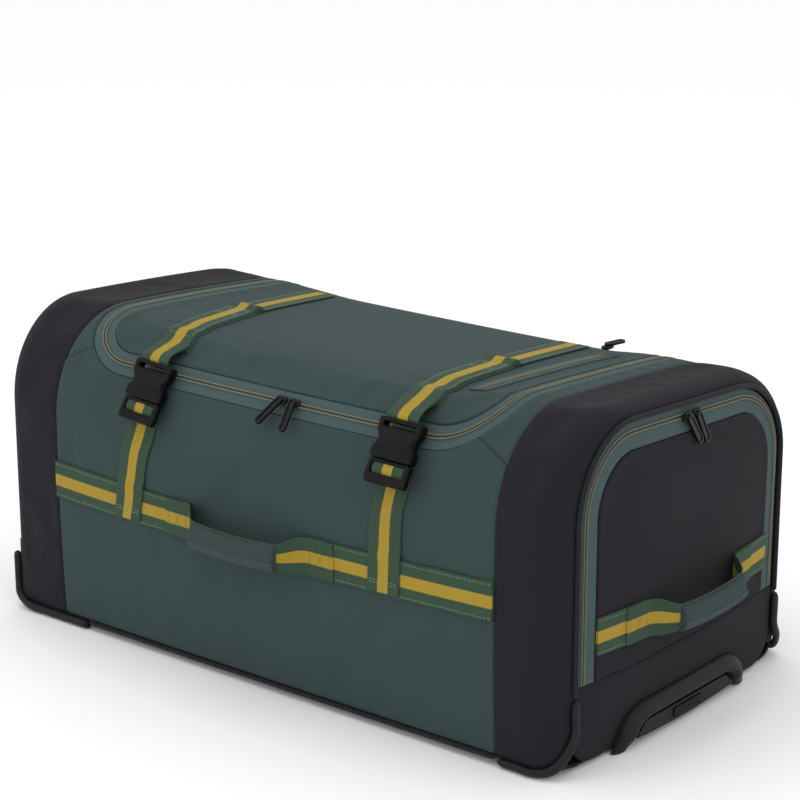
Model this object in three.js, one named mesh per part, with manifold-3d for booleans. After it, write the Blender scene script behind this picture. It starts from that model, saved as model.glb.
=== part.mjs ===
// Wheeled travel bag, 77 cm long, with a U-shaped lid, compression straps and a trolley grip.
// Millimetres, +Z up. The origin is on the floor under the middle of the bag.
// X runs along the bag from the wheel end (-) to the trolley end (+), and the front faces -Y.
import * as THREE from 'three';
import { mergeVertices } from 'three/addons/utils/BufferGeometryUtils.js';
import Module from 'manifold-3d';

const wasm = await Module();
wasm.setup();

// Body
const bodyHalfLength = 368;   // middle to the seam line on each end face
const bodyHalfDepth = 207;
const bodyTop = 333;          // height of the lid at the end hoops
const bodyFloor = 4.5;        // underside of the base above the ground
const topRadius = 100;
const baseRadius = 12;        // along the front and back bottom edges
const endBaseRadius = 34;     // bottom corners of each end face
const hoopRadius = 27;        // rounding between the sides and the end faces
const hoopRadiusShare = 0.45; // how far the top corner tightens at the end faces
const baseSeamShare = 1 / 3;  // where the base seam lies on the bottom rounding
const sideBulge = 12;
const endBulge = 14;
const lidCrown = 4;
const lidSag = 5;             // between the two stiff hoops
const backFall = 0.065;       // slope of the lid towards the back
const clothWall = 2.4;
const seamGap = 0.4;          // between two sewn panels
const layGap = 0.7;           // between a panel and what lies on it
const leftWrapWidth = 84;     // black wraps, from the end seam line to the coloured middle
const rightWrapWidth = 70;

// Lid opening
const leftGussetWidth = 24;   // from the wrap's seam to the centre line of the zip
const rightGussetWidth = 33;
const lidFrontAngle = 51;     // degrees from the top of the front corner to the zip
const lidCornerRadius = 60;
const zipTapeWidth = 25;
const zipChainWidth = 6;
const zipChainRise = 1.8;
const hingeBack = 40;         // distance past the start of the back corner
const gussetSeamDown = 20;    // fall of the diagonal seam from the zip corner to the wrap

// Pocket zip in the lid
const pocketZipIn = 50;       // from the lid zip
const pocketZipFront = 128;
const pocketZipBack = 100;
const pocketZipWidth = 20;

// End faces
const endSeamHeight = 87;     // seam under the end pocket
const endZipInset = 3.4;      // from the piping to the tape
const endChainInset = 8.5;    // from the tape's outer edge to the middle of its teeth
const sliderX = 30;           // where the two lid sliders meet
const endSliderY = 0;
const sliderApart = 16;       // between the middles of two sliders that meet
const sliderLength = 14;
const sliderWidth = 9;
const sliderHeight = 4.5;
const pullLength = 40;
const pullWidth = 5.5;
const pullThickness = 2.6;
const pipingRadius = 2.6;
const basePipingRadius = 2.2;

// Webbing
const webWidth = 38;
const webThickness = 1.8;
const frontBandHeight = 164;  // middle of the band over the ground
const endBandHeight = 132;
const strapTailHeight = 148;  // lower end of each strap on the band
const strapBack = 112;        // where the upper strap is sewn down on the lid, behind
// Place of each strap along the bag: at its tail, at the buckle, on the lid's middle, at its end.
const strapPlaces = {
  left: { tail: -171, buckle: -147, lid: -178, end: -186 },
  right: { tail: 173, buckle: 179, lid: 166, end: 160 },
};

// Buckles
const buckleWidth = 50;
const buckleBelowZip = 25;    // from the zip to the seam between its halves
const femaleLength = 40;
const maleLength = 24;
const buckleThickness = 11;
const buckleLift = layGap + webThickness + seamGap * 1.5;   // rests on the strap below it

// Carry handles
const handleHalfSpan = 77;
const handleSewn = 35;
const handleRamp = 8;         // narrowing of the webbing beside the free span
const gripHalfLength = 57;
const gripHeight = 26;
const gripThickness = 13;
const gripLift = 13;          // clear space behind the grip
const gripWall = 3.2;

// Guards, wheels and housings
const guardRadius = 5.5;
const guardHeight = 78;
const guardReach = 66;        // along the front from the end seam line
const wheelRadius = 34;
const wheelWidth = 24;
const wheelInset = 31;        // middle of the wheel from the side
const wheelBack = 31;         // axle from the end seam line
const hubRadius = 12;
const axleRadius = 4;
const wheelGap = 4;
const housingWall = 3;
const housingLength = 92;
const rimReach = 119;         // along the front from the end seam line
const rimWidth = 12;
const rimStart = 9;           // from the end seam line, on the rounding

// Trolley
const trolleyHalfWidth = 109;
const trolleyHeight = 43;
const trolleyBand = 17;
const trolleyDepth = 46;
const trolleyProud = 11;
const tubeY = 58;
const tubeWidth = 20;
const tubeHeight = 14;
const tubeWall = 1.4;
const tubeClear = 0.5;
const tubeBackX = 235;        // closed end of the guide tubes, left of the middle
const slideStroke = 400;
const tubeOverlap = 96;       // sliding tube left inside the guide when pulled out
const tubeFoot = 10;          // open stretch behind the sliding tube's hollow
const archCorner = 40;
const barHeight = 17;
const barDepth = 15;
const buttonHalfLength = 24;

const clamp = (t, a, b) => Math.min(b, Math.max(a, t));
const lerp = (a, b, t) => a + (b - a) * t;
const range = (n) => Array.from({ length: n + 1 }, (_, i) => i / n);
const rad = Math.PI / 180;

// The section at x: half depth, top height, corner radius and bottom radius.
function sectionAt(x) {
  const e = clamp(Math.abs(x) - (bodyHalfLength - hoopRadius), 0, hoopRadius);
  const inset = hoopRadius - Math.sqrt(Math.max(0, hoopRadius ** 2 - e ** 2));
  const along = Math.min(1, Math.abs(x) / bodyHalfLength);
  const sag = lidSag * (1 - Math.min(1, 1.25 * along ** 2.5));
  return {
    a: bodyHalfDepth - inset,
    top: bodyTop - sag - inset * 0.3,
    r: topRadius - inset * hoopRadiusShare,
    rb: lerp(baseRadius, endBaseRadius, inset / hoopRadius),
    inset: inset / hoopRadius,
    lean: e / hoopRadius,
    along,
  };
}

// Lengths of the five stretches of half a section: top, corner, side, bottom corner, bottom.
function stretches(s) {
  return [s.a - s.r, s.r * Math.PI / 2, s.top - s.r - bodyFloor - s.rb, s.rb * Math.PI / 2, s.a - s.rb];
}
const girth = stretches(sectionAt(0));
const run = girth.map((_, i) => girth.slice(0, i + 1).reduce((a, b) => a + b, 0));
const [runTop, runCorner, runSide, runBase, runAll] = run;

// Point of the bag's skin at station x and girth v, moved out by off.
// v is measured round the middle section from the top: negative to the front, positive to the back.
function section(x, v) {
  const s = sectionAt(x);
  const local = stretches(s);
  const d = Math.min(Math.abs(v), runAll);
  let i = 0;
  while (i < 4 && d > run[i]) i += 1;
  const f = (d - (i ? run[i - 1] : 0)) / girth[i];
  const t = f * local[i];
  let y = 0;
  let z = 0;
  let ny = 0;
  let nz = 0;
  if (i === 0) {
    [y, z, nz] = [t, s.top, 1];
  } else if (i === 1) {
    const k = t / s.r;
    [ny, nz] = [Math.sin(k), Math.cos(k)];
    [y, z] = [s.a - s.r + s.r * ny, s.top - s.r + s.r * nz];
  } else if (i === 2) {
    [y, z, ny] = [s.a, s.top - s.r - t, 1];
  } else if (i === 3) {
    const k = t / s.rb;
    [ny, nz] = [Math.cos(k), -Math.sin(k)];
    [y, z] = [s.a - s.rb + s.rb * ny, bodyFloor + s.rb + s.rb * nz];
  } else {
    [y, z, nz] = [s.a - s.rb - t, bodyFloor, -1];
  }
  const h = clamp((z - bodyFloor) / (s.top - bodyFloor), 0, 1);
  const swell = sideBulge * (1 - s.along ** 2) * Math.sin(Math.PI * h) ** 0.8 * Math.max(0, ny)
    + lidCrown * (1 - s.inset) * (1 - (y / bodyHalfDepth) ** 2) * Math.max(0, nz);
  const side = v < 0 ? -1 : 1;
  const lean = s.lean * [1, 1, 1, Math.min(1, (1 - f) / (1 - baseSeamShare)), 0][i];
  return { y: side * (y + ny * swell), z: z + nz * swell, ny: side * ny, nz, lean };
}
function fall(y, z) {
  return z - backFall * y * clamp((z - bodyTop / 2) / (bodyTop / 2), 0, 1);
}
function skin(x, v, off = 0) {
  const p = section(x, v);
  const flat = Math.sqrt(1 - p.lean ** 2);
  const y = p.y + p.ny * flat * off;
  const z = p.z + p.nz * flat * off;
  return new THREE.Vector3(x + Math.sign(x) * p.lean * off, y, fall(y, z));
}
// Girth of a height on the straight side at station x.
function girthAt(x, z) {
  const s = sectionAt(x);
  const local = stretches(s);
  const k = (s.top - s.r - z) / local[2];
  return runCorner + k * girth[2];
}

// Seam line round each end face, moved in by d, and the domed face inside it.
function ring(v, d = 0) {
  const p = section(bodyHalfLength, v);
  const y = p.y - p.ny * d;
  return [y, fall(y, p.z - p.nz * d)];
}
const faceHeart = (bodyTop + bodyFloor) / 2;
const ringTable = range(120).map((t) => {
  const [y, z] = ring(lerp(-runAll, runAll, t));
  return [Math.atan2(y, z - faceHeart), Math.hypot(y, z - faceHeart)];
}).sort((a, b) => a[0] - b[0]);
function ringShare(y, z) {
  const angle = Math.atan2(y, z - faceHeart);
  const at = ringTable.findIndex((q) => q[0] >= angle);
  const hi = ringTable[at < 0 ? 0 : at];
  const lo = ringTable[at <= 0 ? ringTable.length - 1 : at - 1];
  const gap = hi[0] - lo[0];
  const reach = Math.abs(gap) < 1e-6 || gap < 0 ? hi[1] : lerp(lo[1], hi[1], (angle - lo[0]) / gap);
  return Math.hypot(y, z - faceHeart) / reach;
}
function face(side) {
  return (y, z, off = 0) => {
    const dome = endBulge * (1 - Math.min(1, ringShare(y, z)) ** 2.2);
    return new THREE.Vector3(side * (bodyHalfLength + dome + off), y, z);
  };
}

// Closed sheet over a grid of parameter pairs: its back lies at lo, its front at hi.
function sheet(map, grid, lo, hi) {
  const n = grid.length;
  const m = grid[0].length;
  const at = (off, p, q) => (typeof off === 'function' ? off(p, q) : off);
  const points = [];
  for (const off of [lo, hi]) {
    for (const row of grid) {
      for (const [p, q] of row) points.push(...map(p, q, at(off, p, q)).toArray());
    }
  }
  const id = (k, i, j) => k * n * m + i * m + j;
  const faces = [];
  const quad = (a, b, c, d) => faces.push(a, b, c, a, c, d);
  for (let i = 0; i < n - 1; i += 1) {
    for (let j = 0; j < m - 1; j += 1) {
      quad(id(0, i, j), id(0, i + 1, j), id(0, i + 1, j + 1), id(0, i, j + 1));
      quad(id(1, i, j), id(1, i, j + 1), id(1, i + 1, j + 1), id(1, i + 1, j));
    }
  }
  for (let i = 0; i < n - 1; i += 1) {
    quad(id(0, i, 0), id(1, i, 0), id(1, i + 1, 0), id(0, i + 1, 0));
    quad(id(0, i + 1, m - 1), id(1, i + 1, m - 1), id(1, i, m - 1), id(0, i, m - 1));
  }
  for (let j = 0; j < m - 1; j += 1) {
    quad(id(0, 0, j + 1), id(1, 0, j + 1), id(1, 0, j), id(0, 0, j));
    quad(id(0, n - 1, j), id(1, n - 1, j), id(1, n - 1, j + 1), id(0, n - 1, j + 1));
  }
  return facingOut(points, faces);
}
function facingOut(points, faces) {
  const p = (i) => new THREE.Vector3(points[3 * i], points[3 * i + 1], points[3 * i + 2]);
  let volume = 0;
  for (let i = 0; i < faces.length; i += 3) {
    volume += p(faces[i]).dot(p(faces[i + 1]).cross(p(faces[i + 2])));
  }
  const index = volume < 0 ? faces.map((_, i) => faces[i - (i % 3) + [0, 2, 1][i % 3]]) : faces;
  const g = new THREE.BufferGeometry();
  g.setAttribute('position', new THREE.Float32BufferAttribute(points, 3));
  g.setIndex(index);
  return g;
}
function solid(geometry) {
  const g = geometry.clone();
  g.deleteAttribute('normal');
  g.deleteAttribute('uv');
  const m = mergeVertices(g, 1e-4);
  return new wasm.Manifold(new wasm.Mesh({
    numProp: 3,
    vertProperties: new Float32Array(m.attributes.position.array),
    triVerts: new Uint32Array(m.index.array),
  }));
}
function geometryOf(manifold) {
  const mesh = manifold.getMesh();
  const g = new THREE.BufferGeometry();
  g.setAttribute('position', new THREE.Float32BufferAttribute(Array.from(mesh.vertProperties), 3));
  g.setIndex(Array.from(mesh.triVerts));
  return g;
}
const cut = (g, ...tools) => geometryOf(tools.reduce((m, t) => m.subtract(solid(t)), solid(g)));
const join = (g, ...more) => geometryOf(more.reduce((m, t) => m.add(solid(t)), solid(g)));

// Stations round the girth that every sheet shares, so that layers stay parallel.
const stations = (() => {
  const half = [];
  const add = (from, to, n) => range(n).slice(1).forEach((t) => half.push(lerp(from, to, t)));
  add(0, runTop, 2);
  add(runTop, runCorner, 7);
  add(runCorner, runSide, 4);
  add(runSide, runBase, 3);
  add(runBase, runAll, 2);
  return [...half.map((v) => -v).reverse(), 0, ...half];
})();
function between(from, to, extra = 2) {
  const inner = stations.filter((v) => v > from + extra && v < to - extra);
  return [from, ...inner, to];
}
const rowsOf = (vs, left, right, n) => vs.map((v) => range(n).map((t) => [lerp(left(v), right(v), t), v]));
const fixed = (value) => () => value;

const part = new THREE.Group();
const finish = (color, roughness, metalness = 0) => ({ color, roughness, metalness });
const GREEN = finish(0x3e4c4c, 0.85);
const BLACK = finish(0x2d2c30, 0.85);
const WEB = finish(0x3e5644, 0.8);
const GRIP = finish(0x45534c, 0.8);
const TAPE = finish(0x485e5e, 0.8);
const CHAIN = finish(0x30353a, 0.55);
const PLASTIC = finish(0x3c3c3e, 0.5);
const BUCKLE = finish(0x1e1e20, 0.4);
const RUBBER = finish(0x2a2a2b, 0.7);
const METAL = finish(0x9a9da1, 0.35, 1);
function piece(name, geometry, look, parent = part) {
  const mesh = new THREE.Mesh(geometry, new THREE.MeshStandardMaterial(look));
  mesh.name = name;
  parent.add(mesh);
  return mesh;
}

// Shapes drawn flat and placed on the bag.
function rounded(w, h, r) {
  const s = new THREE.Shape();
  const [x, y] = [w / 2, h / 2];
  s.moveTo(-x + r, -y);
  s.lineTo(x - r, -y);
  s.absarc(x - r, -y + r, r, -Math.PI / 2, 0, false);
  s.lineTo(x, y - r);
  s.absarc(x - r, y - r, r, 0, Math.PI / 2, false);
  s.lineTo(-x + r, y);
  s.absarc(-x + r, y - r, r, Math.PI / 2, Math.PI, false);
  s.lineTo(-x, -y + r);
  s.absarc(-x + r, -y + r, r, Math.PI, 1.5 * Math.PI, false);
  return s;
}
const plate = (shape, depth, curve = 3) => new THREE.ExtrudeGeometry(shape, {
  depth, bevelEnabled: false, curveSegments: curve,
});
const box = (x0, x1, y0, y1, z0, z1) => new THREE.BoxGeometry(x1 - x0, y1 - y0, z1 - z0)
  .translate((x0 + x1) / 2, (y0 + y1) / 2, (z0 + z1) / 2);
function tube(points, radius, sides = 8, steps = 24, closed = false) {
  const circle = new THREE.Shape();
  range(sides).slice(0, -1).forEach((t, i) => {
    const [x, y] = [radius * Math.cos(2 * Math.PI * t), radius * Math.sin(2 * Math.PI * t)];
    if (i) circle.lineTo(x, y);
    else circle.moveTo(x, y);
  });
  const path = new THREE.CatmullRomCurve3(points, closed, 'centripetal');
  return new THREE.ExtrudeGeometry(circle, { steps, extrudePath: path, bevelEnabled: false, curveSegments: 1 });
}
// Frame on a skin point: local X along the bag, local Y up the skin, local Z out of it.
function onSkin(x, v, off, turn = 0) {
  const o = skin(x, v, off);
  const up = skin(x, v + 6, off).sub(skin(x, v - 6, off)).normalize();
  const along = new THREE.Vector3(1, 0, 0);
  const out = new THREE.Vector3().crossVectors(along, up).normalize();
  const m = new THREE.Matrix4().makeBasis(along, up, out).setPosition(o);
  return m.multiply(new THREE.Matrix4().makeRotationZ(turn * rad));
}
// Frame on an end face: local X along the bag's depth, local Y up, local Z out.
function onFace(side, y, z, off, turn = 0) {
  const o = face(side)(y, z, off);
  const m = new THREE.Matrix4().makeBasis(
    new THREE.Vector3(0, side, 0),
    new THREE.Vector3(0, 0, 1),
    new THREE.Vector3(side, 0, 0),
  ).setPosition(o);
  return m.multiply(new THREE.Matrix4().makeRotationZ(turn * rad));
}

// Seams of the black wraps, and the middle and half width of the lid between them.
const seamX = { left: leftWrapWidth - bodyHalfLength, right: bodyHalfLength - rightWrapWidth };
const edgeX = { left: seamX.left + seamGap / 2, right: seamX.right - seamGap / 2 };
const lidLeft = seamX.left + leftGussetWidth;
const lidRight = seamX.right - rightGussetWidth;
const lidMiddle = (lidLeft + lidRight) / 2;
const lidHalfWidth = (lidRight - lidLeft) / 2;
const pocketZipX = lidRight - pocketZipIn;

// U-shaped line of the lid zip, moved out by d: front run, round corners, sides to the hinge.
const lidFront = -(runTop + topRadius * lidFrontAngle * rad);
const hingeV = runTop + hingeBack;
function lidLine(d) {
  const w = lidHalfWidth + d;
  const r = lidCornerRadius + d;
  const front = lidFront - d;
  const half = [];
  range(5).forEach((t) => half.push([(w - r) * t, front]));
  range(6).slice(1).forEach((t) => {
    const k = t * Math.PI / 2;
    half.push([w - r + r * Math.sin(k), front + r - r * Math.cos(k)]);
  });
  const after = lidFront + lidCornerRadius;
  between(after, hingeV, 8).slice(1).forEach((v) => half.push([w, v]));
  return [...half.slice(1).reverse().map(([x, v]) => [lidMiddle - x, v]),
    ...half.map(([x, v]) => [lidMiddle + x, v])];
}
const ruled = (A, B, n) => A.map((p, i) => range(n).map((t) => [lerp(p[0], B[i][0], t), lerp(p[1], B[i][1], t)]));

// Wheel wells and the trolley recess, cut out of the cloth.
const wellY = [bodyHalfDepth - wheelInset - wheelWidth / 2 - wheelGap - housingWall,
  bodyHalfDepth - wheelInset + wheelWidth / 2 + wheelGap + housingWall];
const axleX = -(bodyHalfLength - wheelBack);
const housingTop = wheelRadius * 2 + wheelGap + housingWall;
const housingIn = -(bodyHalfLength - housingLength);
const housingOut = -(bodyHalfLength - clothWall / 2);
function wellBox(side, grow) {
  const [y0, y1] = side < 0 ? [-wellY[1], -wellY[0]] : wellY;
  return box(housingOut - wheelRadius, housingIn + grow, y0 - grow, y1 + grow, -wheelRadius, housingTop + grow);
}
const recessIn = bodyHalfLength - trolleyDepth;
function recessBox(grow) {
  const w = trolleyHalfWidth - trolleyBand / 2;
  const h = trolleyHeight - trolleyBand / 2;
  return box(recessIn - grow, bodyHalfLength + trolleyDepth, -w - grow, w + grow, -trolleyHeight, h + grow);
}
const wells = (grow) => [wellBox(-1, grow), wellBox(1, grow)];

// Height on the front of the bag, as a girth.
function frontAt(z) {
  let [low, high] = [-runSide, -runTop / 2];
  for (let i = 0; i < 40; i += 1) {
    const mid = (low + high) / 2;
    if (skin(0, mid).z < z) low = mid;
    else high = mid;
  }
  return low;
}
// Skin of the underside: u runs from the middle of the base to the front (-) or back (+).
const under = (x, u, off) => skin(x, (u < 0 ? -1 : 1) * (runAll - Math.abs(u)), off);

// Middle panels
const seamV = lerp(runSide, runBase, baseSeamShare);
const tapeHalf = zipTapeWidth / 2;
const outLine = lidLine(tapeHalf + seamGap);
const inLine = lidLine(-tapeHalf - seamGap);
const half = (line) => line.slice((line.length - 1) / 2);
const seamStart = 8;          // point of the lid line where the diagonal seam leaves it
const diagonal = half(outLine)[seamStart];
const diagonalV = diagonal[1] - gussetSeamDown;

const baseHalf = runAll - seamV - seamGap;
const baseRows = [-baseHalf, -baseHalf * 0.97, -baseHalf * 0.94, -baseHalf / 2, 0,
  baseHalf / 2, baseHalf * 0.94, baseHalf * 0.97, baseHalf];
const baseEnd = bodyHalfLength - clothWall - seamGap;
piece('base_panel', cut(
  sheet(under, baseRows.map((u) => range(8).map((t) => [lerp(-baseEnd, baseEnd, t), u])), -clothWall, 0),
  ...wells(seamGap),
  recessBox(seamGap),
), BLACK);

const topEdge = half(outLine).slice(0, seamStart + 1);
const frontEdge = [
  [edgeX.left, diagonalV],
  ...topEdge.slice(1).reverse().map(([x, v]) => [2 * lidMiddle - x, v]),
  ...topEdge,
  [edgeX.right, diagonalV],
];
const frontRows = between(-seamV, diagonalV - 4);
piece('front_panel', sheet(skin, [
  ...frontRows.map((v) => frontEdge.map(([x]) => [x, v])),
  frontEdge.map(([x, v]) => [x, v - seamGap / 2]),
], -clothWall, 0), GREEN);
piece('back_panel', sheet(
  skin,
  rowsOf(between(hingeV + seamGap, seamV), fixed(edgeX.left), fixed(edgeX.right), 8),
  -clothWall,
  0,
), GREEN);

const lidHalf = half(inLine);
const lidCorner = lidHalf[5];
const lidRows = [lidCorner, ...lidHalf.slice(6)].map(([x, v]) => range(8).map((t) => [lerp(2 * lidMiddle - x, x, t), v]));
piece('lid_panel', sheet(skin, lidRows, -clothWall, 0), GREEN);
const gussetIn = half(outLine).slice(seamStart);
for (const end of ['left', 'right']) {
  const inner = gussetIn.map(([x, v], i) => [end === 'left' ? 2 * lidMiddle - x : x, i ? v : v + seamGap / 2]);
  const outer = gussetIn.map(([, v], i) => [edgeX[end], i ? v : diagonalV + seamGap / 2]);
  piece(`lid_gusset_${end}`, sheet(skin, ruled(inner, outer, 2), -clothWall, 0), GREEN);
}

// Lid zip
piece('lid_zip_tape', sheet(skin, ruled(lidLine(-tapeHalf), lidLine(tapeHalf), 2), -clothWall, 0), TAPE);
const chainHalf = zipChainWidth / 2;
const chainTop = layGap + zipChainRise;
piece('lid_zip_chain', sheet(skin, ruled(lidLine(-chainHalf), lidLine(chainHalf), 1), layGap, chainTop), CHAIN);

// Pocket zip on the lid
const pocketRows = between(-pocketZipFront, pocketZipBack);
const strip = (x, w) => rowsOf(pocketRows, fixed(x - w / 2), fixed(x + w / 2), 2);
const tapeTop = layGap + webThickness;
piece('pocket_zip', join(
  sheet(skin, strip(pocketZipX, pocketZipWidth), layGap, tapeTop),
  sheet(skin, strip(pocketZipX, zipChainWidth), tapeTop - 0.4, tapeTop + zipChainRise),
), TAPE);

// End wraps, end faces and their zips
const wrapX = (s) => [
  Math.abs(s < 0 ? seamX.left : seamX.right) + seamGap / 2,
  bodyHalfLength - hoopRadius,
  ...[0.45, 0.82, 1].map((t) => bodyHalfLength - hoopRadius + hoopRadius * t),
].map((x) => s * x);
const zipIn = endZipInset + zipTapeWidth;
const endChain = endZipInset + endChainInset;
const seamGirth = girthAt(bodyHalfLength, endSeamHeight);
const arch = between(-seamGirth + seamGap, seamGirth - seamGap);
const archLine = (d) => arch.map((v) => ring(v, d));
const endHalf = bodyHalfDepth - hoopRadius - zipIn - seamGap;
const pocketV = between(runTop, seamGirth - seamGap, 1).reverse();
const lowerV = [...between(seamGirth + seamGap, runSide, 1), ...between(runSide, runBase, 1).slice(1)];
const across = (list, d, n) => list.map((v) => {
  const [a, b] = [ring(-v, d), ring(v, d)];
  return range(n).map((t) => [lerp(a[0], b[0], t), lerp(a[1], b[1], t)]);
});
for (const [end, s] of [['left', -1], ['right', 1]]) {
  const openings = s < 0 ? wells(seamGap) : [];
  const faceOpenings = s < 0 ? wells(seamGap) : [recessBox(seamGap)];
  const rows = between(-seamV, seamV).map((v) => wrapX(s).map((x) => [x, v]));
  const wrap = sheet(skin, rows, -clothWall, 0);
  piece(`wrap_${end}`, openings.length ? cut(wrap, ...openings) : wrap, BLACK);
  const map = face(s);
  if (s > 0) {
    piece('end_zip_tape', sheet(map, ruled(archLine(endZipInset), archLine(zipIn), 2), -clothWall, 0), TAPE);
    piece('end_zip_chain', sheet(
      map,
      ruled(archLine(endChain - chainHalf), archLine(endChain + chainHalf), 1),
      layGap,
      chainTop,
    ), CHAIN);
    piece('end_pocket', sheet(map, across(pocketV, zipIn + seamGap, 8), -clothWall, 0), BLACK);
  } else {
    piece('end_panel_left', sheet(map, across(pocketV, seamGap, 8), -clothWall, 0), BLACK);
  }
  piece(`end_lower_${end}`, cut(
    sheet(map, across(lowerV, seamGap, 10), -clothWall, 0),
    ...faceOpenings,
  ), BLACK);
}

// Piping over the seams
const lift = (r) => r + seamGap;
for (const [name, side] of [['front', -1], ['back', 1]]) {
  const [x0, x1] = [rimReach - bodyHalfLength + 2, bodyHalfLength - guardReach - 2];
  const line = range(8).map((t) => skin(lerp(x0, x1, t), side * seamV, lift(basePipingRadius)));
  piece(`base_piping_${name}`, tube(line, basePipingRadius, 5, 8), PLASTIC);
}
for (const [end, s] of [['left', -1], ['right', 1]]) {
  const foot = girthAt(bodyHalfLength, guardHeight) - 1;
  const line = between(-foot, foot).map((v) => skin(s * bodyHalfLength, v, lift(pipingRadius)));
  piece(`end_piping_${end}`, tube(line, pipingRadius, 5, line.length), PLASTIC);
}

// Webbing bands
const frontV = frontAt(frontBandHeight);
const bandTop = layGap + webThickness;
const overBand = bandTop + layGap;
piece('front_band', sheet(
  skin,
  [-1, 0, 1].map((k) => range(14).map((t) => [lerp(edgeX.left, edgeX.right, t), frontV + k * webWidth / 2])),
  layGap,
  bandTop,
), WEB);
for (const [end, s] of [['left', -1], ['right', 1]]) {
  piece(`end_band_${end}`, sheet(
    face(s),
    [-1, 0, 1].map((k) => range(12).map((t) => [lerp(-endHalf, endHalf, t), endBandHeight + k * webWidth / 2])),
    layGap,
    bandTop,
  ), WEB);
}

// Carry handles: webbing sewn on the band, and a wrapped grip round it
const gripBack = overBand + gripLift;
const gripMid = gripBack + gripThickness / 2;
function handle(name, map, at) {
  const sewn = handleHalfSpan + handleSewn;
  const halfLine = [[sewn, 0], [handleHalfSpan, 0], [handleHalfSpan - handleRamp, 0.45], [gripHalfLength + 3, 0.95],
    [gripHalfLength - 4, 1], [0, 1]];
  const line = [...halfLine.slice(0, -1).map(([p, k]) => [-p, k]), [0, 1],
    ...halfLine.slice(0, -1).reverse()];
  const width = (k) => lerp(webWidth - 1, gripHeight - 2 * gripWall - 2 * layGap, k) / 2;
  const base = (k) => lerp(overBand, gripMid - webThickness / 2, k);
  const level = (p) => {
    const i = clamp(line.findIndex(([q]) => q >= p), 1, line.length - 1);
    const [a, b] = [line[i - 1], line[i]];
    return lerp(a[1], b[1], (p - a[0]) / (b[0] - a[0]));
  };
  piece(`${name}_webbing`, sheet(
    map,
    line.map(([p, k]) => [-1, 0, 1].map((j) => [p, at + j * width(k)])),
    (p) => base(level(p)),
    (p) => base(level(p)) + webThickness,
  ), WEB);
  const rows = (reach, w, n) => range(4).map((t) => range(n).map((j) => [
    lerp(-reach, reach, t),
    at + lerp(-w, w, j),
  ]));
  const round = (q, w) => 0.45 + 0.55 * Math.sqrt(Math.max(0, 1 - ((q - at) / w) ** 2));
  const w = gripHeight / 2;
  const body = sheet(
    map,
    rows(gripHalfLength, w, 4),
    (p, q) => gripMid - round(q, w) * gripThickness / 2,
    (p, q) => gripMid + round(q, w) * gripThickness / 2,
  );
  const slot = sheet(
    map,
    rows(gripHalfLength * 1.1, w - gripWall, 2),
    gripMid - webThickness / 2 - layGap,
    gripMid + webThickness / 2 + layGap,
  );
  piece(`${name}_grip`, cut(body, slot), GRIP);
}
handle('front_handle', skin, frontV);
handle('end_handle_left', face(-1), endBandHeight);
handle('end_handle_right', face(1), endBandHeight);

// Compression straps
const buckleV = lidFront - buckleBelowZip;
const strapHalf = webWidth / 2 - 0.5;
const tailV = frontAt(strapTailHeight);
const bandEdge = frontV + webWidth / 2;
const easing = 9;             // length over which a strap steps down from what it crosses
// Place of a strap along the bag at girth v, from the table of places.
function strapAt(places, v) {
  const rows = [[tailV, places.tail], [buckleV, places.buckle], [lidFront, places.buckle],
    [-runTop / 4, places.lid], [strapBack, places.end]];
  const i = clamp(rows.findIndex(([q]) => q >= v), 1, rows.length - 1);
  const [a, b] = [rows[i - 1], rows[i]];
  return lerp(a[1], b[1], clamp((v - a[0]) / (b[0] - a[0]), 0, 1));
}
for (const [name, places] of Object.entries(strapPlaces)) {
  const edge = (k) => (v) => strapAt(places, v) + k * strapHalf;
  const lowRows = [tailV, frontV, bandEdge + easing / 3, bandEdge + easing * 4 / 3,
    ...between(bandEdge + easing * 4 / 3, buckleV - femaleLength / 5).slice(1)];
  const lowOff = (q) => lerp(overBand, layGap, clamp((q - bandEdge - easing / 3) / easing, 0, 1));
  piece(`strap_lower_${name}`, sheet(
    skin,
    rowsOf(lowRows, edge(-1), edge(1), 2),
    (p, q) => lowOff(q),
    (p, q) => lowOff(q) + webThickness,
  ), WEB);
  const pastZip = lidFront + zipChainWidth;
  const upperV = [lidFront - chainHalf, pastZip, pastZip + easing,
    ...between(pastZip + easing, strapBack).slice(1)];
  const upperOff = (q) => lerp(chainTop + layGap, layGap, clamp((q - pastZip) / easing, 0, 1));
  piece(`strap_upper_${name}`, sheet(
    skin,
    rowsOf(upperV, edge(-1), edge(1), 2),
    (p, q) => upperOff(q),
    (p, q) => upperOff(q) + webThickness,
  ), WEB);
}

// Side-release buckles: the female half above, the male half below it
const w2 = buckleWidth / 2;
function femaleShape() {
  const f = femaleLength;
  const shape = new THREE.Shape();
  shape.moveTo(-w2 + 3, 0);
  shape.lineTo(w2 - 3, 0);
  shape.quadraticCurveTo(w2, 0, w2, 4);
  shape.lineTo(w2, f * 0.26);
  shape.quadraticCurveTo(w2 - 9, f * 0.44, w2, f * 0.64);
  shape.lineTo(w2 + 1, f - 4);
  shape.quadraticCurveTo(w2 + 1, f, w2 - 3, f);
  shape.lineTo(-w2 + 3, f);
  shape.quadraticCurveTo(-w2 - 1, f, -w2 - 1, f - 4);
  shape.lineTo(-w2, f * 0.64);
  shape.quadraticCurveTo(-w2 + 9, f * 0.44, -w2, f * 0.26);
  shape.lineTo(-w2, 4);
  shape.quadraticCurveTo(-w2, 0, -w2 + 3, 0);
  const slot = rounded(webWidth + 2, 5, 1.5);
  const hole = new THREE.Path(slot.getPoints(1).map((p) => new THREE.Vector2(p.x, p.y + f - 7)).reverse());
  shape.holes.push(hole);
  return shape;
}
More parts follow.
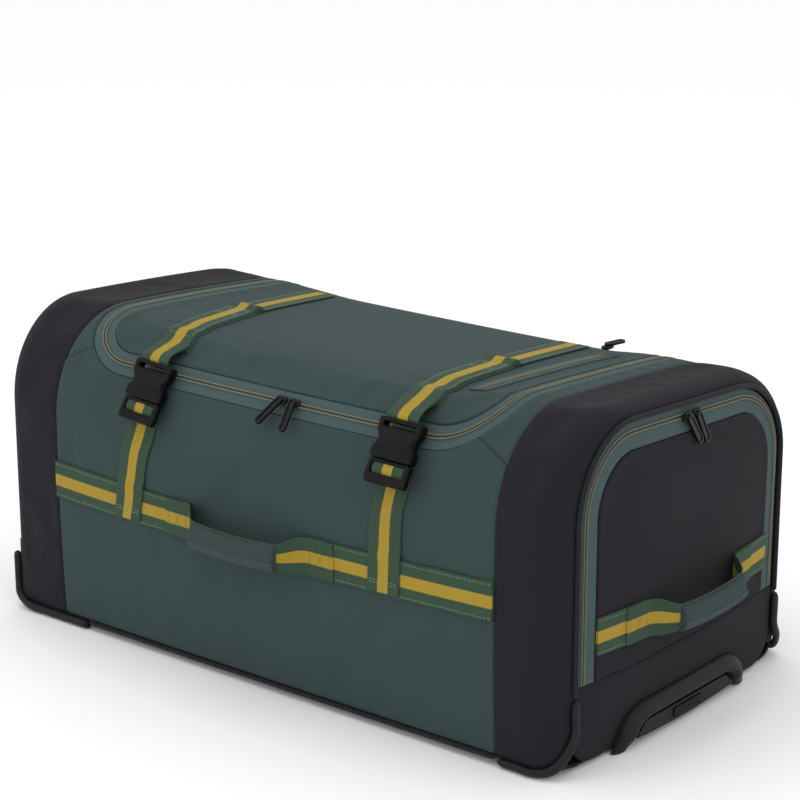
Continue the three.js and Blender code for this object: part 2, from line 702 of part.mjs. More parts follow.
function maleShape() {
  const shape = rounded(buckleWidth, maleLength, 4);
  for (const y of [-maleLength / 2 + 7.5, maleLength / 2 - 9]) {
    const slot = rounded(webWidth + 2, 6, 1.5);
    shape.holes.push(new THREE.Path(slot.getPoints(1).map((p) => new THREE.Vector2(p.x, p.y + y)).reverse()));
  }
  return shape;
}
const female = plate(femaleShape(), buckleThickness, 2).translate(0, -6, 0);
const male = plate(maleShape(), buckleThickness - 4, 1)
  .translate(0, -6 - seamGap - maleLength / 2, 2);
for (const [name, places] of Object.entries(strapPlaces)) {
  const run = lidFront + buckleBelowZip - tailV;
  const lean = Math.atan2(places.buckle - places.tail, run) / rad / 2;
  const frame = onSkin(places.buckle, buckleV, buckleLift, -lean);
  piece(`buckle_female_${name}`, female.clone().applyMatrix4(frame), BUCKLE);
  piece(`buckle_male_${name}`, male.clone().applyMatrix4(frame), BUCKLE);
}

// Zip sliders, each with its pull, which hangs turned from the zip
function sliderSolid(long, turn) {
  const body = plate(rounded(sliderLength, sliderWidth, sliderWidth / 3), sliderHeight, 1);
  const pull = plate(rounded(pullWidth, long, pullWidth * 0.45), pullThickness, 1)
    .translate(0, -long / 2 + pullWidth / 3, sliderHeight - pullThickness / 2)
    .rotateZ(turn * rad);
  return join(body, pull);
}
const sliderLift = chainTop + layGap;
const sliders = [
  ['lid_slider_left', onSkin(sliderX - sliderApart / 2, lidFront, sliderLift), pullLength, -36],
  ['lid_slider_right', onSkin(sliderX + sliderApart / 2, lidFront, sliderLift), pullLength, -14],
  ['pocket_slider', onSkin(pocketZipX, pocketZipBack - sliderApart / 2, tapeTop + zipChainRise + 0.5, 90), pullLength * 0.65, 78],
];
const [, sliderZ] = ring(0, endChain);
for (const [name, side] of [['front', -1], ['back', 1]]) {
  const y = endSliderY + side * sliderApart / 2;
  sliders.push([`end_slider_${name}`, onFace(1, y, sliderZ, sliderLift), pullLength, side > 0 ? 31 : 37]);
}
for (const [name, frame, long, turn] of sliders) piece(name, sliderSolid(long, turn).applyMatrix4(frame), CHAIN);

// Corner guards at the trolley end and housing rims at the wheel end
function cornerLine(s, side, start, reach, radius) {
  const v = (z) => side * girthAt(bodyHalfLength, z);
  const low = side * (seamV + (runBase - seamV) * 0.2);
  const off = radius + seamGap;
  const line = [
    [0, v(guardHeight)],
    [0, v(guardHeight * 0.78)],
    [0, v(guardHeight * 0.56)],
    [0.03, lerp(v(guardHeight * 0.56), low, 0.55)],
    [0.16, lerp(v(guardHeight * 0.56), low, 0.86)],
    [0.38, low],
    [0.68, low],
    [1, low],
  ];
  return line.map(([k, q]) => skin(s * (bodyHalfLength - start - k * (reach - start)), q, off));
}
const floorBox = box(-2 * bodyHalfLength, 2 * bodyHalfLength, -2 * bodyHalfDepth, 2 * bodyHalfDepth, -bodyTop, 0);
for (const [name, side] of [['front', -1], ['back', 1]]) {
  const guard = tube(cornerLine(1, side, 0, guardReach, guardRadius), guardRadius, 8, 12);
  piece(`corner_guard_${name}`, cut(guard, floorBox), PLASTIC);
}

// Wheels, axles and housings
for (const [name, side] of [['front', -1], ['back', 1]]) {
  const y = side * (bodyHalfDepth - wheelInset);
  const [w0, w1] = side < 0 ? [-wellY[1], -wellY[0]] : wellY;
  const clear = wheelRadius + wheelGap;
  const shell = box(housingOut, housingIn, w0, w1, bodyFloor - 1.5, housingTop);
  const disc = new THREE.CylinderGeometry(clear, clear, w1 - w0 - 2 * housingWall, 20)
    .translate(axleX, (w0 + w1) / 2, wheelRadius);
  const past = axleX - 2 * clear;
  const mouth = box(past, axleX + clear, w0 + housingWall, w1 - housingWall, -clear, wheelRadius);
  const endMouth = box(past, axleX, w0 + housingWall, w1 - housingWall, -clear, wheelRadius + clear * 0.5);
  const axle = new THREE.CylinderGeometry(axleRadius, axleRadius, w1 - w0 - housingWall, 16)
    .translate(axleX, (w0 + w1) / 2, wheelRadius);
  piece(`wheel_housing_${name}`, join(cut(shell, disc, mouth, endMouth), axle), PLASTIC);
  const h = wheelWidth / 2;
  const bore = axleRadius + 0.3;
  const profile = [
    [bore, -h + 1], [hubRadius, -h + 1], [hubRadius + 2, -h + 4], [wheelRadius - 8, -h + 4], [wheelRadius - 6, -h],
    [wheelRadius - 2, -h], [wheelRadius, -h + 4], [wheelRadius, h - 4], [wheelRadius - 2, h],
    [wheelRadius - 6, h], [wheelRadius - 8, h - 4], [hubRadius + 2, h - 4], [hubRadius, h - 1], [bore, h - 1], [bore, -h + 1],
  ].map(([r, q]) => new THREE.Vector2(r, q));
  const wheel = piece(`wheel_${name}`, new THREE.LatheGeometry(profile, 16), RUBBER);
  wheel.position.set(axleX, y, wheelRadius);
  const rim = tube(cornerLine(-1, side, rimStart, rimReach, rimWidth / 2), rimWidth / 2, 8, 12);
  piece(`housing_rim_${name}`, cut(rim, floorBox, wellBox(side, seamGap)), PLASTIC);
}

// Trolley: housing, guide tubes, sliding tubes, grip and button
const tubeZ = bodyFloor + clothWall + tubeClear + tubeHeight / 2;
const faceOut = bodyHalfLength + endBulge * 0.62;
const frameOut = faceOut + trolleyProud;
function archShape(w, h, r) {
  const shape = new THREE.Shape();
  const low = 1.2;
  shape.moveTo(-w, low);
  shape.lineTo(w, low);
  shape.lineTo(w, h * 0.3);
  shape.bezierCurveTo(w, h * 0.75, w - r * 0.5, h, w - r, h);
  shape.lineTo(-w + r, h);
  shape.bezierCurveTo(-w + r * 0.5, h, -w, h * 0.75, -w, h * 0.3);
  return shape;
}
// A YZ outline pushed along X from x0 to x1.
const along = (shape, x0, x1) => plate(shape, x1 - x0, 6)
  .applyMatrix4(new THREE.Matrix4().makeBasis(
    new THREE.Vector3(0, 1, 0),
    new THREE.Vector3(0, 0, 1),
    new THREE.Vector3(1, 0, 0),
  ))
  .translate(x0, 0, 0);
const recessHalf = trolleyHalfWidth - trolleyBand / 2 - 1;
const recessTop = trolleyHeight - trolleyBand / 2 - 1;
const openHalf = trolleyHalfWidth - trolleyBand;
const openTop = trolleyHeight - trolleyBand;
const tubeRect = (w, h, x0, x1, y) => box(x0, x1, y - w / 2, y + w / 2, tubeZ - h / 2, tubeZ + h / 2);
const innerW = tubeWidth - 2 * tubeWall - 2 * tubeClear;
const innerH = tubeHeight - 2 * tubeWall - 2 * tubeClear;
const frame = join(
  along(archShape(trolleyHalfWidth, trolleyHeight, archCorner), faceOut, frameOut),
  box(recessIn, faceOut + 1, -recessHalf, recessHalf, bodyFloor, recessTop),
);
piece('trolley_housing', cut(
  frame,
  along(archShape(openHalf, openTop, archCorner - trolleyBand * 0.8), recessIn + housingWall, frameOut + trolleyProud),
  box(recessIn + housingWall, frameOut + trolleyProud, -openHalf, openHalf, -bodyFloor, bodyFloor + housingWall),
  ...[-tubeY, tubeY].map((y) => tubeRect(
    innerW + 2 * tubeClear,
    innerH + 2 * tubeClear,
    recessIn - housingWall,
    recessIn + 2 * housingWall,
    y,
  )),
), PLASTIC);
const trolley = new THREE.Group();
part.add(trolley);
const barBack = bodyHalfLength - 2;
const barFront = barBack + barDepth;
const tubeEnd = recessIn - 0.3;
const innerEnd = barBack - 0.3;
const innerStart = tubeEnd - slideStroke - tubeOverlap;
for (const [name, y] of [['front', -tubeY], ['back', tubeY]]) {
  const outer = tubeRect(tubeWidth, tubeHeight, -tubeBackX, tubeEnd, y);
  const hollow = tubeRect(
    tubeWidth - 2 * tubeWall,
    tubeHeight - 2 * tubeWall,
    -tubeBackX + tubeWall,
    tubeEnd + tubeFoot,
    y,
  );
  piece(`guide_tube_${name}`, cut(outer, hollow), METAL);
  const inner = tubeRect(innerW, innerH, innerStart, innerEnd, y);
  const core = tubeRect(innerW - 2 * tubeWall, innerH - 2 * tubeWall, innerStart - tubeFoot, innerEnd - 4, y);
  piece(`sliding_tube_${name}`, cut(inner, core), METAL, trolley);
}
const barHalf = openHalf - 4;
const barShape = new THREE.Shape();
const [barLow, barHigh] = [tubeZ - barHeight / 2, tubeZ + barHeight / 2];
barShape.moveTo(-barHalf + 16, barHigh);
barShape.lineTo(-barHalf, barLow + 3.5);
barShape.quadraticCurveTo(-barHalf * 0.6, barLow + 1, 0, barLow);
barShape.quadraticCurveTo(barHalf * 0.6, barLow + 1, barHalf, barLow + 3.5);
barShape.lineTo(barHalf - 16, barHigh);
const buttonY = [-buttonHalfLength, buttonHalfLength];
const buttonSize = [barLow + 4.5, barHigh - 3.5];
const buttonPocket = 8;
piece('trolley_grip', cut(
  along(barShape, barBack, barFront),
  box(barFront - buttonPocket, barFront + 5, buttonY[0] - 0.4, buttonY[1] + 0.4, buttonSize[0] - 0.4,
    buttonSize[1] + 0.4),
), PLASTIC, trolley);
piece('trolley_button', box(
  barFront - buttonPocket + 3.4,
  barFront + 1.2,
  buttonY[0],
  buttonY[1],
  buttonSize[0],
  buttonSize[1],
), BUCKLE, trolley);

// The origin lies on the floor under the middle of the whole bag, handles included.
part.updateMatrixWorld(true);
const whole = new THREE.Box3().setFromObject(part);
const middle = whole.getCenter(new THREE.Vector3());
part.position.set(-middle.x, -middle.y, -whole.min.z);

export default part;
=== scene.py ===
# %% [markdown]
# # A wheeled travel bag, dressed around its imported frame
# The frame holds the solids, the joints and the record. This lesson gives every visible
# surface its real form and finish: sewn cloth panels, webbing with a woven stripe, zips,
# buckles, carry handles, moulded guards, wheels and the pull-out trolley.

# %% Load the frame
import math

import bmesh
import bpy
import numpy as np
from mathutils import Matrix, Vector


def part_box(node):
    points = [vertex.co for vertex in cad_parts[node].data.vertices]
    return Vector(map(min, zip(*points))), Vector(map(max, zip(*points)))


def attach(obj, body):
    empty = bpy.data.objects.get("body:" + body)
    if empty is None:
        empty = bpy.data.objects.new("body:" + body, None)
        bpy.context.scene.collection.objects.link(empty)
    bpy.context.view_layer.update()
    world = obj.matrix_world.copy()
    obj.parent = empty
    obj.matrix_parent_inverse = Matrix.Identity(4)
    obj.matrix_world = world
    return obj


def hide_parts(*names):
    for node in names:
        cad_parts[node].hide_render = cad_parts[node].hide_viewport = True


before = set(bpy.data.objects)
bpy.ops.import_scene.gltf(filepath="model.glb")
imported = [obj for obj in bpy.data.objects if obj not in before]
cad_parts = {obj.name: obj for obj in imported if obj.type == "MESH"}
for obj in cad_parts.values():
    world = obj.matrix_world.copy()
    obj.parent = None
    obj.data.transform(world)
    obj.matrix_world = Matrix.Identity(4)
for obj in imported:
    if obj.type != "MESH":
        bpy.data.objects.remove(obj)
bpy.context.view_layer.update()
print("nodes in the frame:", len(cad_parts))

# %% [markdown]
# ## Sizes
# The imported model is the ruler. The base panel tells where the middle of the body lies and
# how high it sits, and the right wrap tells how long the body is. The other sizes are plain
# millimetres, the unit a bag maker cuts in, and they turn into metres in the mesh helpers.

# %% Driving sizes
MM = 0.001
base_low, base_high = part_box("base_panel")
MIDDLE_Y = (base_low.y + base_high.y) / 2 / MM
HALF_LENGTH = round(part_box("wrap_right")[1].x / MM, 2)
FLOOR = round(base_low.z / MM, 2)
HALF_DEPTH = 207.0
TOP = 333.0
TOP_RADIUS = 100.0
BASE_RADIUS = 12.0
END_BASE_RADIUS = 34.0
HOOP = 27.0
HOOP_SHARE = 0.45
SIDE_BULGE = 12.0
END_BULGE = 14.0
LID_CROWN = 4.0
LID_SAG = 5.0
BACK_FALL = 0.065
WALL = 2.4
GAP = 0.4
LAY = 0.7
print("half length", HALF_LENGTH, "floor", FLOOR, "middle", round(MIDDLE_Y, 2))

# %% [markdown]
# ## The bag's skin
# A duffel like this is cut flat and sewn round two stiff hoops, so one surface describes it:
# `x` runs along the bag and `v` is the girth measured round the middle section, negative to
# the front and positive to the back. `off` moves a point out of the surface. Panels, zips and
# straps all use the same surface, so layers stay parallel whatever shape the bag takes.


# %% The skin as a function
def section_sizes(x):
    reach = np.clip(np.abs(x) - (HALF_LENGTH - HOOP), 0, HOOP)
    inset = HOOP - np.sqrt(np.maximum(0, HOOP**2 - reach**2))
    along = np.minimum(1, np.abs(x) / HALF_LENGTH)
    sag = LID_SAG * (1 - np.minimum(1, 1.25 * along**2.5))
    return {
        "depth": HALF_DEPTH - inset,
        "top": TOP - sag - inset * 0.3,
        "corner": TOP_RADIUS - inset * HOOP_SHARE,
        "foot": BASE_RADIUS + (END_BASE_RADIUS - BASE_RADIUS) * inset / HOOP,
        "inset": inset / HOOP,
        "lean": reach / HOOP,
        "along": along,
    }


def stretches(s):
    quarter = np.pi / 2
    return np.stack([
        s["depth"] - s["corner"],
        s["corner"] * quarter,
        s["top"] - s["corner"] - FLOOR - s["foot"],
        s["foot"] * quarter,
        s["depth"] - s["foot"],
    ])


print("the hoops turn over", HOOP, "mm")

# %% Girth of the middle section
GIRTH = stretches(section_sizes(np.array(0.0)))
RUN_TOP, RUN_CORNER, RUN_SIDE, RUN_BASE, RUN_ALL = np.cumsum(GIRTH)
RUNS = np.cumsum(GIRTH)
SEAM_SHARE = 1 / 3
SEAM_V = RUN_SIDE + (RUN_BASE - RUN_SIDE) * SEAM_SHARE
print("girth of the middle section", round(2 * float(RUN_ALL)), "mm")


# %% From girth to a point
def fall(y, z):
    return z - BACK_FALL * y * np.clip((z - TOP / 2) / (TOP / 2), 0, 1)


def section(x, v):
    """Place and outward direction of the skin at (x, v), before the lid's slope to the back."""
    x, v = np.broadcast_arrays(np.asarray(x, float), np.asarray(v, float))
    s = section_sizes(x)
    local = stretches(s)
    d = np.minimum(np.abs(v), RUN_ALL)
    i = np.clip(np.searchsorted(RUNS, d, side="left"), 0, 4)
    before = np.where(i > 0, RUNS[np.maximum(i - 1, 0)], 0)
    share = (d - before) / GIRTH[i]
    t = share * np.take_along_axis(local, i[None], 0)[0]
    k = t / s["corner"]
    q = t / s["foot"]
    zero = np.zeros_like(x)
    one = zero + 1
    ny = np.choose(i, [zero, np.sin(k), one, np.cos(q), zero])
    nz = np.choose(i, [one, np.cos(k), zero, -np.sin(q), -one])
    y = np.choose(i, [
        t,
        s["depth"] - s["corner"] + s["corner"] * ny,
        s["depth"] + zero,
        s["depth"] - s["foot"] + s["foot"] * ny,
        s["depth"] - s["foot"] - t,
    ])
    z = np.choose(i, [
        s["top"] + zero,
        s["top"] - s["corner"] + s["corner"] * nz,
        s["top"] - s["corner"] - t,
        FLOOR + s["foot"] + s["foot"] * nz,
        zero + FLOOR,
    ])
    h = np.clip((z - FLOOR) / (s["top"] - FLOOR), 0, 1)
    side_swell = SIDE_BULGE * (1 - s["along"] ** 2) * np.sin(np.pi * h) ** 0.8 * np.maximum(0, ny)
    crown = LID_CROWN * (1 - s["inset"]) * (1 - (y / HALF_DEPTH) ** 2) * np.maximum(0, nz)
    swell = side_swell + crown
    side = np.where(v < 0, -1.0, 1.0)
    kept = np.choose(i, [one, one, one, np.minimum(1, (1 - share) / (1 - SEAM_SHARE)), zero])
    return side * (y + ny * swell), z + nz * swell, side * ny, nz, s["lean"] * kept


def skin(x, v, off=0.0):
    """Point of the bag at (x, v), moved out by off; millimetres in, metres in the frame out."""
    y, z, ny, nz, lean = section(x, v)
    flat = np.sqrt(1 - lean**2)
    y = y + ny * flat * off
    z = z + nz * flat * off
    along = x + np.sign(x) * lean * off
    return np.stack(np.broadcast_arrays(along, y + MIDDLE_Y, fall(y, z)), -1) * MM


def girth_at(x, z):
    s = section_sizes(np.array(float(x)))
    share = (s["top"] - s["corner"] - z) / stretches(s)[2]
    return float(RUN_CORNER + share * GIRTH[2])


def front_at(z):
    """Girth of a height on the front, found by halving."""
    low, high = -RUN_SIDE, -RUN_TOP / 2
    for _ in range(40):
        mid = (low + high) / 2
        if skin(0.0, mid)[2] < z * MM:
            low = mid
        else:
            high = mid
    return float(low)


print("middle of the front at height", round(float(skin(0.0, -RUN_CORNER)[2]) / MM), "mm")

# %% [markdown]
# ## The end faces
# Each end is a flat panel sewn into the hoop's piping and pushed out a little by what is
# inside. `ring` walks the seam line, and `dome` gives the pushed-out face inside it.


# %% The end faces as functions
def ring(v, inset=0.0):
    y, z, ny, nz, _ = section(HALF_LENGTH, v)
    y = y - ny * inset
    return y, fall(y, z - nz * inset)


FACE_HEART = (TOP + FLOOR) / 2
ring_y, ring_z = ring(np.linspace(-RUN_ALL, RUN_ALL, 721))
ring_angle = np.arctan2(ring_y, ring_z - FACE_HEART)
ring_reach = np.hypot(ring_y, ring_z - FACE_HEART)
ring_order = np.argsort(ring_angle)


def dome(side):
    def place(y, z, off=0.0):
        angle = np.arctan2(y, z - FACE_HEART)
        reach = np.interp(angle, ring_angle[ring_order], ring_reach[ring_order])
        share = np.minimum(1, np.hypot(y, z - FACE_HEART) / reach)
        x = side * (HALF_LENGTH + END_BULGE * (1 - share**2.2) + off)
        return np.stack(np.broadcast_arrays(x, y + MIDDLE_Y, z), -1) * MM

    return place


print("top of the end seam at", round(float(ring(0.0)[1]), 1), "mm")

# %% [markdown]
# ## Camera
# The photograph looks down on the bag's front and trolley end from the right. A long lens
# keeps its edges nearly parallel, so the camera stands well back.

# %% The camera
CAMERA_LENS = 108
CAMERA_SENSOR = 36
CAMERA_PLACE = (1.5354, -1.8820, 0.9775)
CAMERA_TILT = 73.5
CAMERA_TURN = 38.9
camera_data = bpy.data.cameras.new("camera")
camera_data.lens = CAMERA_LENS
camera_data.sensor_width = CAMERA_SENSOR
camera = bpy.data.objects.new("camera", camera_data)
bpy.context.scene.collection.objects.link(camera)
camera.location = Vector(CAMERA_PLACE) + Vector((0, MIDDLE_Y * MM, 0))
camera.rotation_euler = (math.radians(CAMERA_TILT), 0, math.radians(CAMERA_TURN))
bpy.context.scene.camera = camera
print("camera at", [round(c, 3) for c in camera.location])

# %% [markdown]
# ## Mesh helpers
# Most pieces here are sheets: a grid of outer points, a grid of inner points, and a rim that
# joins them. Each sheet carries its own flat measure, `cloth`, in metres, so that a weave or
# a stripe follows the cloth and needs no unwrapping.


# %% From grids to meshes
def new_object(name, mesh):
    piece = bpy.data.objects.new(name, mesh)
    bpy.context.scene.collection.objects.link(piece)
    return piece


def mesh_from(name, points, faces, flat=None, sharp=40):
    """Mesh object from an (n, 3) array and a list of index tuples; flat is the cloth measure."""
    mesh = bpy.data.meshes.new(name)
    mesh.from_pydata(points.tolist(), [], faces)
    mesh.validate()
    if flat is not None:
        measure = mesh.attributes.new("cloth", "FLOAT_VECTOR", "POINT")
        measure.data.foreach_set("vector", np.ascontiguousarray(flat, np.float32).ravel())
    mesh.shade_smooth()
    mesh.set_sharp_from_angle(angle=math.radians(sharp))
    return new_object(name, mesh)


def quads(rows, cols, start=0, wrap=False):
    i, j = np.meshgrid(np.arange(rows - 1), np.arange(cols if wrap else cols - 1), indexing="ij")
    i, j = i.ravel(), j.ravel()
    k = (j + 1) % cols
    return start + np.stack([i * cols + j, (i + 1) * cols + j, (i + 1) * cols + k, i * cols + k], 1)


def outward(points, faces):
    """The same quads, turned so that the closed body has its faces pointing out."""
    a, b, c, d = (points[faces[:, k]] for k in range(4))
    volume = np.einsum("ij,ij->", a, np.cross(b, c)) + np.einsum("ij,ij->", a, np.cross(c, d))
    return faces[:, ::-1] if volume < 0 else faces


def closed_sheet(name, outer, inner, flat, sharp=40):
    """Closed body between two (rows, cols, 3) grids; flat is (rows, cols, 2) in millimetres."""
    rows, cols = outer.shape[:2]
    count = rows * cols
    top = quads(rows, cols)
    edge = np.concatenate([
        np.arange(cols),
        np.arange(1, rows) * cols + cols - 1,
        (rows - 1) * cols + np.arange(cols - 2, -1, -1),
        np.arange(rows - 2, 0, -1) * cols,
    ])
    after = np.roll(edge, -1)
    rim = np.stack([edge, after, after + count, edge + count], 1)
    points = np.concatenate([outer.reshape(-1, 3), inner.reshape(-1, 3)])
    faces = outward(points, np.concatenate([top, top[:, ::-1] + count, rim]))
    measure = np.zeros((2 * count, 3))
    measure[:, :2] = np.tile(flat.reshape(-1, 2) * MM, (2, 1))
    return mesh_from(name, points, faces.tolist(), measure, sharp)


print("sheet helpers ready")

# %% [markdown]
# ## Sweeps and plates
# Piping, guards and rims are one outline pushed along a path. Buckles, sliders and pulls are
# flat outlines with soft edges, for which a filled 2-D curve with a bevel is the quickest way:
# it rounds the edge of every hole as well.


# %% Smooth paths and sweeps
def unit(a):
    return a / np.maximum(np.linalg.norm(a, axis=-1, keepdims=True), 1e-12)


def smooth_path(points, count):
    """Centripetal Catmull-Rom curve through a few points, as count points."""
    p = np.asarray(points, float)
    p = np.concatenate([[2 * p[0] - p[1]], p, [2 * p[-1] - p[-2]]])
    knots = np.concatenate([[0], np.cumsum(np.linalg.norm(np.diff(p, axis=0), axis=1) ** 0.5)])
    out = []
    for t in np.linspace(knots[1], knots[-2], count):
        i = int(np.clip(np.searchsorted(knots, t, side="right") - 1, 1, len(p) - 3))
        t0, t1, t2, t3 = knots[i - 1:i + 3]
        a1 = (t1 - t) / (t1 - t0) * p[i - 1] + (t - t0) / (t1 - t0) * p[i]
        a2 = (t2 - t) / (t2 - t1) * p[i] + (t - t1) / (t2 - t1) * p[i + 1]
        a3 = (t3 - t) / (t3 - t2) * p[i + 1] + (t - t2) / (t3 - t2) * p[i + 2]
        b1 = (t2 - t) / (t2 - t0) * a1 + (t - t0) / (t2 - t0) * a2
        b2 = (t3 - t) / (t3 - t1) * a2 + (t - t1) / (t3 - t1) * a3
        out.append((t2 - t) / (t2 - t1) * b1 + (t - t1) / (t2 - t1) * b2)
    return np.array(out)


def sweep(name, path, outs, outline, ends=1.0, sharp=40):
    """outline is (k, 2) in millimetres, as (across, out); outs point out of the surface."""
    tangent = unit(np.gradient(path, axis=0))
    out = unit(outs - np.sum(outs * tangent, -1, keepdims=True) * tangent)
    side = np.cross(tangent, out)
    count, k = len(path), len(outline)
    step = np.linalg.norm(np.diff(path, axis=0), axis=1)
    run = np.concatenate([[0], np.cumsum(step)])
    near = np.minimum(run, run[-1] - run) / (ends * MM)
    size = np.sqrt(np.clip(1 - (1 - np.clip(near, 0, 1)) ** 2, 0.02, 1))
    ring_points = (
        path[:, None]
        + side[:, None] * outline[None, :, :1] * size[:, None, None] * MM
        + out[:, None] * outline[None, :, 1:] * size[:, None, None] * MM
    )
    points = np.concatenate([ring_points.reshape(-1, 3), path[:1], path[-1:]])
    faces = outward(points, quads(count, k, wrap=True))
    flipped = bool((faces[0] != quads(count, k, wrap=True)[0]).any())
    around = np.arange(k)
    first = np.stack([np.full(k, count * k), (around + 1) % k, around], 1)
    end = (count - 1) * k
    last = np.stack([np.full(k, count * k + 1), around + end, (around + 1) % k + end], 1)
    caps = np.concatenate([first, last])
    caps = caps if flipped else caps[:, ::-1]
    measure = np.zeros((len(points), 3))
    measure[:count * k, 0] = np.tile(outline[:, 0] * MM, count)
    measure[:count * k, 1] = np.repeat(run, k)
    return mesh_from(name, points, faces.tolist() + caps.tolist(), measure, sharp)


print("paths and sweeps ready")


# %% Outlines and plates
def round_outline(half_width, half_height, sides=20, power=2.0):
    """Ellipse for power 2, squarer above that."""
    a = np.linspace(0, 2 * np.pi, sides, endpoint=False)
    c, s = np.cos(a), np.sin(a)
    return np.stack([
        half_width * np.sign(c) * np.abs(c) ** (2 / power),
        half_height * np.sign(s) * np.abs(s) ** (2 / power),
    ], 1)


def rounded_rect(width, height, radius, centre=(0.0, 0.0), steps=5):
    corners = [(1, 1, 0), (-1, 1, 90), (-1, -1, 180), (1, -1, 270)]
    points = []
    for sx, sy, start in corners:
        for a in np.radians(np.linspace(start, start + 90, steps)):
            points.append((
                centre[0] + sx * (width / 2 - radius) + radius * math.cos(a),
                centre[1] + sy * (height / 2 - radius) + radius * math.sin(a),
            ))
    return points


def plate(outlines, thickness, soft):
    """Flat mesh data from closed outlines in millimetres, with soft edges; it rises from z 0."""
    curve = bpy.data.curves.new("plate", "CURVE")
    curve.dimensions = "2D"
    curve.fill_mode = "BOTH"
    curve.extrude = thickness / 2 - soft
    curve.bevel_depth = soft
    curve.bevel_resolution = 2
    curve.offset = -soft
    for outline in outlines:
        spline = curve.splines.new("POLY")
        spline.points.add(len(outline) - 1)
        spline.use_cyclic_u = True
        for point, (x, y) in zip(spline.points, outline):
            point.co = (x, y, 0, 1)
    holder = new_object("plate", curve)
    ready = holder.evaluated_get(bpy.context.evaluated_depsgraph_get())
    mesh = bpy.data.meshes.new_from_object(ready)
    bpy.data.objects.remove(holder)
    bpy.data.curves.remove(curve)
    mesh.transform(Matrix.Translation((0, 0, thickness / 2)))
    return mesh


def fused(name, meshes, matrix, sharp=35):
    """One object from several meshes in millimetres, set in place by matrix."""
    whole = bmesh.new()
    for mesh in meshes:
        whole.from_mesh(mesh)
        bpy.data.meshes.remove(mesh)
    bmesh.ops.remove_doubles(whole, verts=whole.verts, dist=0.002)
    bmesh.ops.recalc_face_normals(whole, faces=whole.faces)
    data = bpy.data.meshes.new(name)
    whole.to_mesh(data)
    whole.free()
    data.transform(matrix @ Matrix.Scale(MM, 4))
    data.shade_smooth()
    data.set_sharp_from_angle(angle=math.radians(sharp))
    return new_object(name, data)


print("outlines and plates ready")

# %% [markdown]
# ## Shared shader groups
# Three effects are wanted in many finishes. `Woven threads` makes a plain weave from the
# cloth's own measure, and its Shade output is painted shade: the colour is lighter on the
# raised threads and darker in the dips between them. `Worn tone and weave shade` lets a colour
# drift and gather dust as real cloth does, and multiplies in that painted shade. `Moulded grain`
# is the fine pebble of moulded plastic. Each is a group with named sockets, built once, so
# every finish only sets its own numbers.


# %% Group builders
def new_group(name, inputs, outputs):
    group = bpy.data.node_groups.new(name, "ShaderNodeTree")
    kinds = {"f": "NodeSocketFloat", "v": "NodeSocketVector", "c": "NodeSocketColor"}
    for label, kind, value in inputs:
        socket = group.interface.new_socket(label, in_out="INPUT", socket_type=kinds[kind])
        if value is not None:
            socket.default_value = value
    for label, kind in outputs:
        group.interface.new_socket(label, in_out="OUTPUT", socket_type=kinds[kind])
    source = group.nodes.new("NodeGroupInput")
    sink = group.nodes.new("NodeGroupOutput")
    return group, source.outputs, sink.inputs


def maths(tree, operation, a, b=0.5, c=None, clamp=False):
    node = tree.nodes.new("ShaderNodeMath")
    node.operation = operation
    node.use_clamp = clamp
    for socket, value in zip(node.inputs, (a, b, c)):
        if value is None:
            continue
        if isinstance(value, (int, float)):
            socket.default_value = value
        else:
            tree.links.new(value, socket)
    return node.outputs[0]


def noise(tree, place, scale, detail=3.0, rough=0.55):
    node = tree.nodes.new("ShaderNodeTexNoise")
    node.inputs["Scale"].default_value = scale
    node.inputs["Detail"].default_value = detail
    node.inputs["Roughness"].default_value = rough
    tree.links.new(place, node.inputs["Vector"])
    return node.outputs["Fac"]


def mixed(tree, fac, a, b, blend="MIX"):
    node = tree.nodes.new("ShaderNodeMix")
    node.data_type = "RGBA"
    node.blend_type = blend
    for socket, value in ((node.inputs[0], fac), (node.inputs[6], a), (node.inputs[7], b)):
        if isinstance(value, (int, float)):
            socket.default_value = value
        elif isinstance(value, tuple):
            socket.default_value = (*value, 1.0)
        else:
            tree.links.new(value, socket)
    return node.outputs[2]


def axes(tree, vector):
    node = tree.nodes.new("ShaderNodeSeparateXYZ")
    tree.links.new(vector, node.inputs[0])
    return node.outputs


print("node helpers ready")


# %% The three groups
def woven_threads():
    group, given, put = new_group(
        "Woven threads",
        [("Cloth", "v", None), ("Pitch", "f", 0.0008), ("Slub", "f", 0.25)],
        [("Height", "f"), ("Shade", "f")],
    )
    x, y, _ = axes(group, given["Cloth"])
    a = maths(group, "DIVIDE", x, given["Pitch"])
    b = maths(group, "DIVIDE", y, given["Pitch"])
    over = maths(group, "ABSOLUTE", maths(group, "SINE", maths(group, "MULTIPLY", a, math.pi)))
    under = maths(group, "ABSOLUTE", maths(group, "SINE", maths(group, "MULTIPLY", b, math.pi)))
    cells = maths(group, "ADD", maths(group, "FLOOR", a), maths(group, "FLOOR", b))
    turn = maths(group, "MODULO", maths(group, "ABSOLUTE", cells), 2.0)
    other = maths(group, "SUBTRACT", 1.0, turn)
    warp = maths(group, "MULTIPLY", over, turn)
    weft = maths(group, "MULTIPLY", under, other)
    woven = maths(group, "MAXIMUM", warp, weft)
    slub = maths(group, "MULTIPLY", noise(group, given["Cloth"], 420.0, 2.0), given["Slub"])
    height = maths(group, "ADD", woven, slub)
    group.links.new(height, put["Height"])
    # Shade is painted shade: 0.85 in the dips between threads, up to 1.15 on their crests.
    group.links.new(maths(group, "MULTIPLY_ADD", woven, 0.3, 0.85), put["Shade"])
    return group


